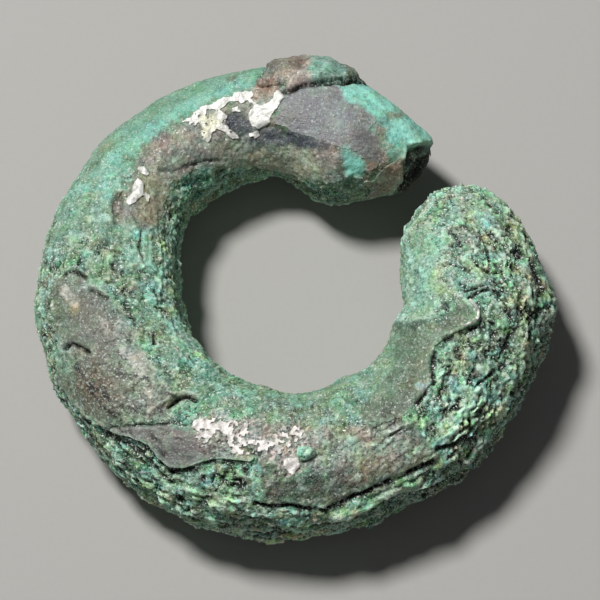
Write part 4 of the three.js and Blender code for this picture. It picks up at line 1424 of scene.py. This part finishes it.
# broad changes of hue: how many to the mm, where each begins, and the tint
tints = [
    (0.7, 0.48, (1.3, 1.0, 0.8, 1)),
    (0.85, 0.47, (0.74, 1.0, 1.14, 1)),
    (1.0, 0.48, (0.8, 1.12, 0.74, 1)),
    (1.5, 0.52, (1.3, 0.98, 0.9, 1)),
]
corrosion = {
    "brushStretch": (1.2, 8.0, 3.0),
    "litCrestTint": (1.7, 1.65, 1.7, 1),
    "litCrestFrost": 0.6,
    "threadWidth": 0.022,
    "glintWidth": 0.02,
    "speckShade": (0.86, 0.9, 0.84, 1),
    "bumpDistance": 0.00012,  # metres
    "roughSpread": 0.4,
    "speckShine": 0.4,
}


def corrodedFinish(name, look):
    material, start, shader = startFinish(name, Metallic=look["metal"], Specular_IOR_Level=look["shine"])
    position = millimetres(start)
    gritty = stored(start, "grit")
    fine = noise(position, *textures["fine"])
    powder = noise(position, *textures["powder"])
    cloud = noise(position, *textures["cloud"])
    stretched = position.node("Mapping", None, {
        "Vector": position, "Rotation": (0, 0, look["lie"]), "Scale": corrosion["brushStretch"]})
    brushed = noise(stretched, *textures["brushed"])

    # a brownish cast and green stains
    colour = (cloud.between(0.5, 0.7) * look["warm"]).blend(storedPatina(start), shade("umber"))
    green = noise(position, *textures["green"]).between(0.55, 0.66)
    colour = (green * look["green"]).blend(colour, shade("verdigris"))
    # painted shade in low places and painted highlights on raised ones, following the relief and random
    # unevenness
    uneven = stored(start, "relief") * 0.5 + (fine - 0.5) * 3.6 + (powder - 0.5) * 2.4
    uneven = uneven + (brushed - 0.5) * look["brushed"]
    strength = gritty * 0.95 + look["calm"]
    shadedLows = (0 - uneven).between(0.1, 0.95) * strength * look["shadow"]
    colour = shadedLows.blend(colour, look["deep"], "MULTIPLY")
    litCrests = uneven.between(0.15, 1.05) * strength * look["litCrests"]
    colour = litCrests.blend(colour, corrosion["litCrestTint"], "MULTIPLY")
    colour = (litCrests * corrosion["litCrestFrost"]).blend(colour, shade("frost"))
    # cracks and holes
    someGrit = (gritty + 0.1).clamped()
    cracks = noise(position, *textures["cracks"]).threads(corrosion["threadWidth"]) * cloud.between(0.42, 0.6)
    colour = (cracks * someGrit * look["cracks"]).blend(colour, shade("pitch"))
    holes = noise(position, *textures["holes"]).between(0.63, 0.7) * someGrit
    colour = (holes * look["holes"]).blend(colour, look["deep"], "MULTIPLY")
    # broad tints
    change = (gritty * 0.9 + 0.1) * look["tint"]
    for scale, least, tint in tints:
        patch = noise(position, scale, 1.5, 0.5).between(least, least + 0.2)
        colour = (patch * change).blend(colour, tint, "MULTIPLY")
    # painted highlights as bright glinting threads, with pale specks of grain
    glints = noise(position, *textures["glints"]).threads(corrosion["glintWidth"])
    glints = glints * noise(position, *textures["glintPlaces"]).between(0.5, 0.6)
    specks = (glints + noise(position, *textures["specks"]).between(0.63, 0.69)).clamped()
    specks = specks * (gritty + 0.14).clamped()
    colour = (specks * look["specks"]).blend(colour, corrosion["speckShade"])

    height = fine * 0.6 + powder * 0.3 + brushed * 0.1 * look["brushed"]
    bump = position.node("Bump", None, {
        "Strength": look["bump"], "Distance": corrosion["bumpDistance"], "Height": height})
    roughness = look["rough"] + (fine - 0.5) * corrosion["roughSpread"] - specks * corrosion["speckShine"]
    attach(shader, Base_Color=colour, Roughness=roughness.clamped(), Normal=bump)
    return material


silverLook = {
    "metal": 0.15,
    "shine": 0.7,
    "rough": 0.28,
    "roughSpread": 0.3,
    "pale": (0.97, 0.96, 0.93, 1),
    "bump": 0.6,
    "bumpDistance": 0.0001,
}


def silverFinish(name):
    material, start, shader = startFinish(
        name, Metallic=silverLook["metal"], Specular_IOR_Level=silverLook["shine"])
    position = millimetres(start)
    fine = noise(position, *textures["silver"])
    pits = noise(position, *textures["silverPits"]).between(0.58, 0.7)
    colour = (fine.between(0.35, 0.75) * 0.5).blend(storedPatina(start), silverLook["pale"])
    colour = (pits * 0.5).blend(colour, shade("ash"))
    bump = position.node("Bump", None, {
        "Strength": silverLook["bump"], "Distance": silverLook["bumpDistance"], "Height": fine})
    roughness = silverLook["rough"] + fine * silverLook["roughSpread"]
    attach(shader, Base_Color=colour, Roughness=roughness.clamped(), Normal=bump)
    return material


crustShades = {
    "metal": 0.0,
    "shine": 0.35,
    "rough": 0.8,
    "calm": 0.2,  # what shows even where nothing is granular
    "warm": 0.12,
    "green": 0.0,
    "brushed": 0.0,
    "lie": 0.0,  # which way it is brushed
    "deep": (0.05, 0.1, 0.06, 1),
    "shadow": 1.0,
    "litCrests": 0.85,
    "cracks": 0.9,
    "holes": 0.6,
    "tint": 0.7,
    "specks": 1.0,
    "bump": 0.9,
}
sheetShades = {
    "metal": 0.12,
    "shine": 0.5,
    "rough": 0.52,
    "calm": 0.22,
    "warm": 0.3,
    "green": 0.25,
    "brushed": 1.2,
    "lie": 0.5,
    "deep": (0.12, 0.12, 0.11, 1),
    "shadow": 0.85,
    "litCrests": 0.55,
    "cracks": 0.7,
    "holes": 0.55,
    "tint": 0.5,
    "specks": 0.65,
    "bump": 0.8,
}
finishes = {
    "core_metal": corrodedFinish("corroded core", {**crustShades, "litCrests": 0.35, "warm": 0.4}),
    "teal_crust": corrodedFinish("teal crust", crustShades),
    "pale_crust": corrodedFinish("pale crust", crustShades),
    "dark_crust": corrodedFinish("dark crust", crustShades),
    "tarnished_sheet": corrodedFinish("tarnished sheet", sheetShades),
    "dark_plate": corrodedFinish("dark plate", {
        **sheetShades, "rough": 0.58, "warm": 0.1, "green": 0.06, "brushed": 2.4, "lie": 0.9}),
    "bright_silver": silverFinish("bright silver"),
}

# the pieces
coreTop = np.where(cornerAny(~bareCells) & ~cornerAny(bareCells), -coreLook["under"], coreSkin)


def coreMesh():
    # every second row and column are enough under the crust
    points = surfacePoints(coreTop, np.zeros_like(shift))
    keptRows = np.append(np.arange(0, rows - 1, 2), rows - 1)
    keptColumns = np.arange(0, columns, 2)
    points = points[np.ix_(keptRows, keptColumns)]
    wide = len(keptColumns)
    tall = len(keptRows)
    number = np.arange(tall * wide).reshape(tall, wide)
    number[0] = 0
    number[-1] = (tall - 1) * wide
    nextOne = np.roll(number, -1, axis=1)
    quads = np.stack([number[:-1], number[1:], nextOne[1:], nextOne[:-1]], -1).reshape(-1, 4)
    faces = [[v for n, v in enumerate(quad) if v != quad[n - 1]] for quad in quads.tolist()]
    used, compact = np.unique(np.concatenate(faces), return_inverse=True)
    sizes = np.array([len(face) for face in faces])
    mesh = filledMesh("core", points.reshape(-1, 3)[used], compact, sizes)
    where = (keptRows[:, None] * columns + keptColumns[None, :]).ravel()[used]
    return mesh, where


mesh, where = coreMesh()
dress(mesh, where, finishes["core_metal"], patina, relief)
place("core", mesh, "core_rod")
under = np.full((rows, columns), coreLook["covers"])
for sheet in sheets:
    mesh, where = solidMesh(sheet["node"], sheet["cells"], sheet["top"], under, shift)
    dress(mesh, where, finishes[sheet["slot"]], patina, relief)
    place(sheet["node"] + "_dressed", mesh, sheet["node"])
for crust in crusts:
    mesh, where = solidMesh(crust["node"], crust["cells"], crustTop, under, shift)
    dress(mesh, where, finishes[crust["slot"]], patina, relief)
    place(crust["node"] + "_dressed", mesh, crust["node"])
print("crusts and sheets laid")

# bright silver, lying on what is below it
silvers = [
    {"node": "silver_upper", "thick": 0.07, "ragged": 1.0, "holes": 0.25, "outlines": [
        [(248, 118), (253, 106), (247, 101), (240, 104), (237, 98), (247, 92), (252, 90), (254, 96),
         (250, 100), (257, 104), (268, 106), (274, 96), (279, 92), (284, 97), (278, 107), (272, 114),
         (270, 122), (262, 128), (253, 126)],
        [(181, 123), (194, 114), (204, 107), (217, 102), (236, 96), (250, 92), (248, 97), (238, 102),
         (226, 106), (219, 110), (220, 121), (228, 129), (237, 137), (235, 140), (225, 132), (216, 126),
         (207, 142), (203, 140), (206, 126), (200, 124), (194, 128), (186, 128)],
        [(247, 133), (258, 132), (262, 136), (252, 139)],
        [(193, 119), (217, 109), (228, 117), (221, 124), (212, 130), (207, 143), (202, 141), (198, 128)],
        [(230, 108), (238, 106), (240, 112), (233, 114)],
        [(231, 131), (236, 133), (240, 139), (234, 138)],
    ]},
    {"node": "silver_left", "thick": 0.08, "ragged": 0.5, "holes": 0.1, "outlines": [
        [(138, 169), (144, 166), (150, 173), (147, 177), (141, 174)],
        [(138, 180), (143, 186), (141, 196), (135, 203), (129, 206), (125, 204), (131, 194), (134, 184)],
        [(144, 196), (148, 196), (147, 202)],
    ]},
    {"node": "silver_lower", "thick": 0.07, "ragged": 2.4, "holes": 0.36, "outlines": [
        [(192, 422), (206, 416), (220, 417), (246, 421), (254, 432), (246, 442), (232, 444), (220, 438),
         (204, 444), (195, 440)],
        [(226, 440), (244, 438), (262, 441), (272, 432), (284, 428), (300, 426), (308, 430), (306, 444),
         (292, 444), (288, 454), (274, 456), (262, 452), (250, 457), (232, 454)],
        [(285, 458), (296, 456), (303, 462), (300, 474), (292, 474), (285, 467)],
    ]},
    {"node": "silver_lip", "thick": 0.2, "ragged": 0.05, "holes": 0, "outlines": [
        [(466, 298), (470, 299), (475, 304), (479, 311), (479, 318), (475, 324), (464, 328), (463, 326),
         (473, 322), (477, 317), (477, 312), (473, 306), (468, 301)],
    ]},
]
settled = soften(surface, 1.0)
silverLie = {
    "hiddenReach": 0.3,  # mm out of sight that it goes
    "lace": 0.2,
    "over": 0.015,  # above what it lies on
    "least": 0.03,
}
wholeFlakes = [  # no holes here
    [(286, 459), (295, 457), (302, 462), (300, 472), (293, 474), (287, 468)],
    [(212, 108), (216, 98), (252, 86), (257, 96), (268, 101), (274, 92), (288, 90), (284, 104), (274, 126),
     (262, 132), (246, 128), (249, 112), (240, 104), (226, 110)],
    [(203, 144), (210, 124), (220, 122), (212, 142)],
]
silverShades = {"bright": (238, 237, 228), "creamy": (216, 214, 172), "rosy": (226, 206, 202)}
creamyFlake = [(197, 117), (216, 111), (222, 120), (214, 130), (205, 138), (198, 134)]


def paintSilver():
    colour = linear(silverShades["bright"])
    creamy = 0.8 * ramp(outlineDepth(creamyFlake, 2.0), -0.1, 0.2)[..., None]
    colour = colour * (1 - creamy) + creamy * linear(silverShades["creamy"])
    # rosier towards the bottom of the photograph
    rosy = 0.35 * ramp(photoY, 380, 420)[..., None]
    return colour * (1 - rosy) + rosy * linear(silverShades["rosy"])


silverColour = paintSilver()
for silver in silvers:
    depth = np.max([outlineDepth(outline, silver["ragged"]) for outline in silver["outlines"]], axis=0)
    depth = np.minimum(depth, silverLie["hiddenReach"] - hidden)
    if silver["holes"]:
        lace = ramp(0.6 * wave[0.34] + wave[0.17] + fineGrain - 0.45, -0.1, 0.45)
        for outline in wholeFlakes:
            lace = lace * (1 - ramp(outlineDepth(outline), -0.1, 0.1))
        depth = np.minimum(depth, silverLie["lace"] - silver["holes"] * lace)
    cells = tidy((cellMean(depth) > 0) & ~bareCells)
    base = (surface if silver["node"] == "silver_lip" else settled) + silverLie["over"]
    top = base + silver["thick"] * (0.75 + 0.5 * wave[0.34] + 0.35 * wave[0.17])
    top = np.maximum(top, base + silverLie["least"])
    mesh, where = solidMesh(silver["node"], cells, top, base, drawnOnto(depth, cells))
    dress(mesh, where, finishes["bright_silver"], silverColour, relief)
    place(silver["node"] + "_dressed", mesh, silver["node"])

nodule = {
    "node": "crust_nodule",
    "slot": "teal_crust",
    "middle": (305.5, 453.5),  # pixels
    "reach": (9.5, 6.8),
    "radius": 0.5,  # mm, about
    "rise": 0.34,
    "foot": 0.03,
    "least": 0.05,
    "under": 0.02,
    "shade": (178, 228, 200),
    "relief": 0.5,
}


def addNodule():
    across = (photoX - nodule["middle"][0]) / nodule["reach"][0]
    down = (photoY - nodule["middle"][1]) / nodule["reach"][1]
    elsewhere = 9 * (hidden > 0)
    apart = np.hypot(across, down) + 0.3 * wave[0.34] + elsewhere
    cells = tidy(cellMean(1 - apart) > 0)
    bulge = np.sqrt(np.clip(1 - apart ** 2, 0, 1)) * (1 + 0.5 * wave[0.34] + 0.4 * wave[0.17])
    dome = np.maximum(settled + nodule["foot"] + nodule["rise"] * bulge, settled + nodule["least"])
    drawn = drawnOnto((1 - apart) * nodule["radius"], cells)
    mesh, where = solidMesh("nodule", cells, dome, settled + nodule["under"], drawn)
    colour = np.broadcast_to(linear(nodule["shade"]), patina.shape)
    dress(mesh, where, finishes[nodule["slot"]], colour, relief * nodule["relief"])
    place("crust_nodule_dressed", mesh, nodule["node"])


addNodule()
print("silver and nodule laid")

# table, light and camera
table = {
    "size": 1.2,  # metres
    "shade": (178, 176, 172),
    "rough": 0.9,
    "shine": 0.2,
    "fibres": 0.12,
}


def layTable():
    extent = table["size"] / 2
    mesh = bpy.data.meshes.new("table")
    corners = [(-extent, -extent, 0), (extent, -extent, 0), (extent, extent, 0), (-extent, extent, 0)]
    mesh.from_pydata(corners, [], [(0, 1, 2, 3)])
    material, start, shader = startFinish(
        "table paper", Roughness=table["rough"], Specular_IOR_Level=table["shine"])
    fibres = noise(millimetres(start), *textures["paper"])
    colour = (fibres * table["fibres"]).blend((*linear(table["shade"]), 1), shade("chalk"))
    attach(shader, Base_Color=colour)
    mesh.materials.append(material)
    top = bpy.data.objects.new("table", mesh)
    bpy.context.scene.collection.objects.link(top)


# metres and watts
keyLight = {"direction": (-0.36, 0.33, 0.92), "distance": 0.4, "size": 0.085, "power": 1.7}
fillLight = {"direction": (0.3, -0.75, 0.6), "distance": 0.5, "size": 0.5, "power": 0.09}
room = {"shade": (0.9, 0.93, 1.0, 1), "strength": 0.05}


def hangLight(name, light):
    data = bpy.data.lights.new(name, "AREA")
    data.shape = "DISK"
    data.size = light["size"]
    data.energy = light["power"]
    lamp = bpy.data.objects.new(name, data)
    way = Vector(light["direction"]).normalized()
    lamp.location = way * light["distance"]
    lamp.rotation_euler = way.to_track_quat("Z", "Y").to_euler()
    bpy.context.scene.collection.objects.link(lamp)


def setWorld():
    world = bpy.data.worlds.new("studio")
    world.use_nodes = True
    background = world.node_tree.nodes["Background"]
    background.inputs["Color"].default_value = room["shade"]
    background.inputs["Strength"].default_value = room["strength"]
    bpy.context.scene.world = world


def setCamera():
    data = bpy.data.cameras.new("camera")
    data.sensor_width = camera["sensor"]
    data.lens = camera["sensor"] * focal / camera["frame"]
    middle = camera["frame"] / 2
    data.shift_x = (middle - camera["aimPixel"][0]) / camera["frame"]
    data.shift_y = -(middle - camera["aimPixel"][1]) / camera["frame"]
    data.clip_start = camera["near"]
    data.clip_end = camera["far"]
    view = bpy.data.objects.new("camera", data)
    view.location = Vector(eye * mm)
    view.rotation_euler = Vector(towardsCamera).to_track_quat("Z", "Y").to_euler()
    bpy.context.scene.collection.objects.link(view)
    bpy.context.scene.camera = view


layTable()
hangLight("key", keyLight)
hangLight("fill", fillLight)
setWorld()
setCamera()
bpy.context.scene.view_settings.view_transform = "Standard"
print("table, light and camera set")
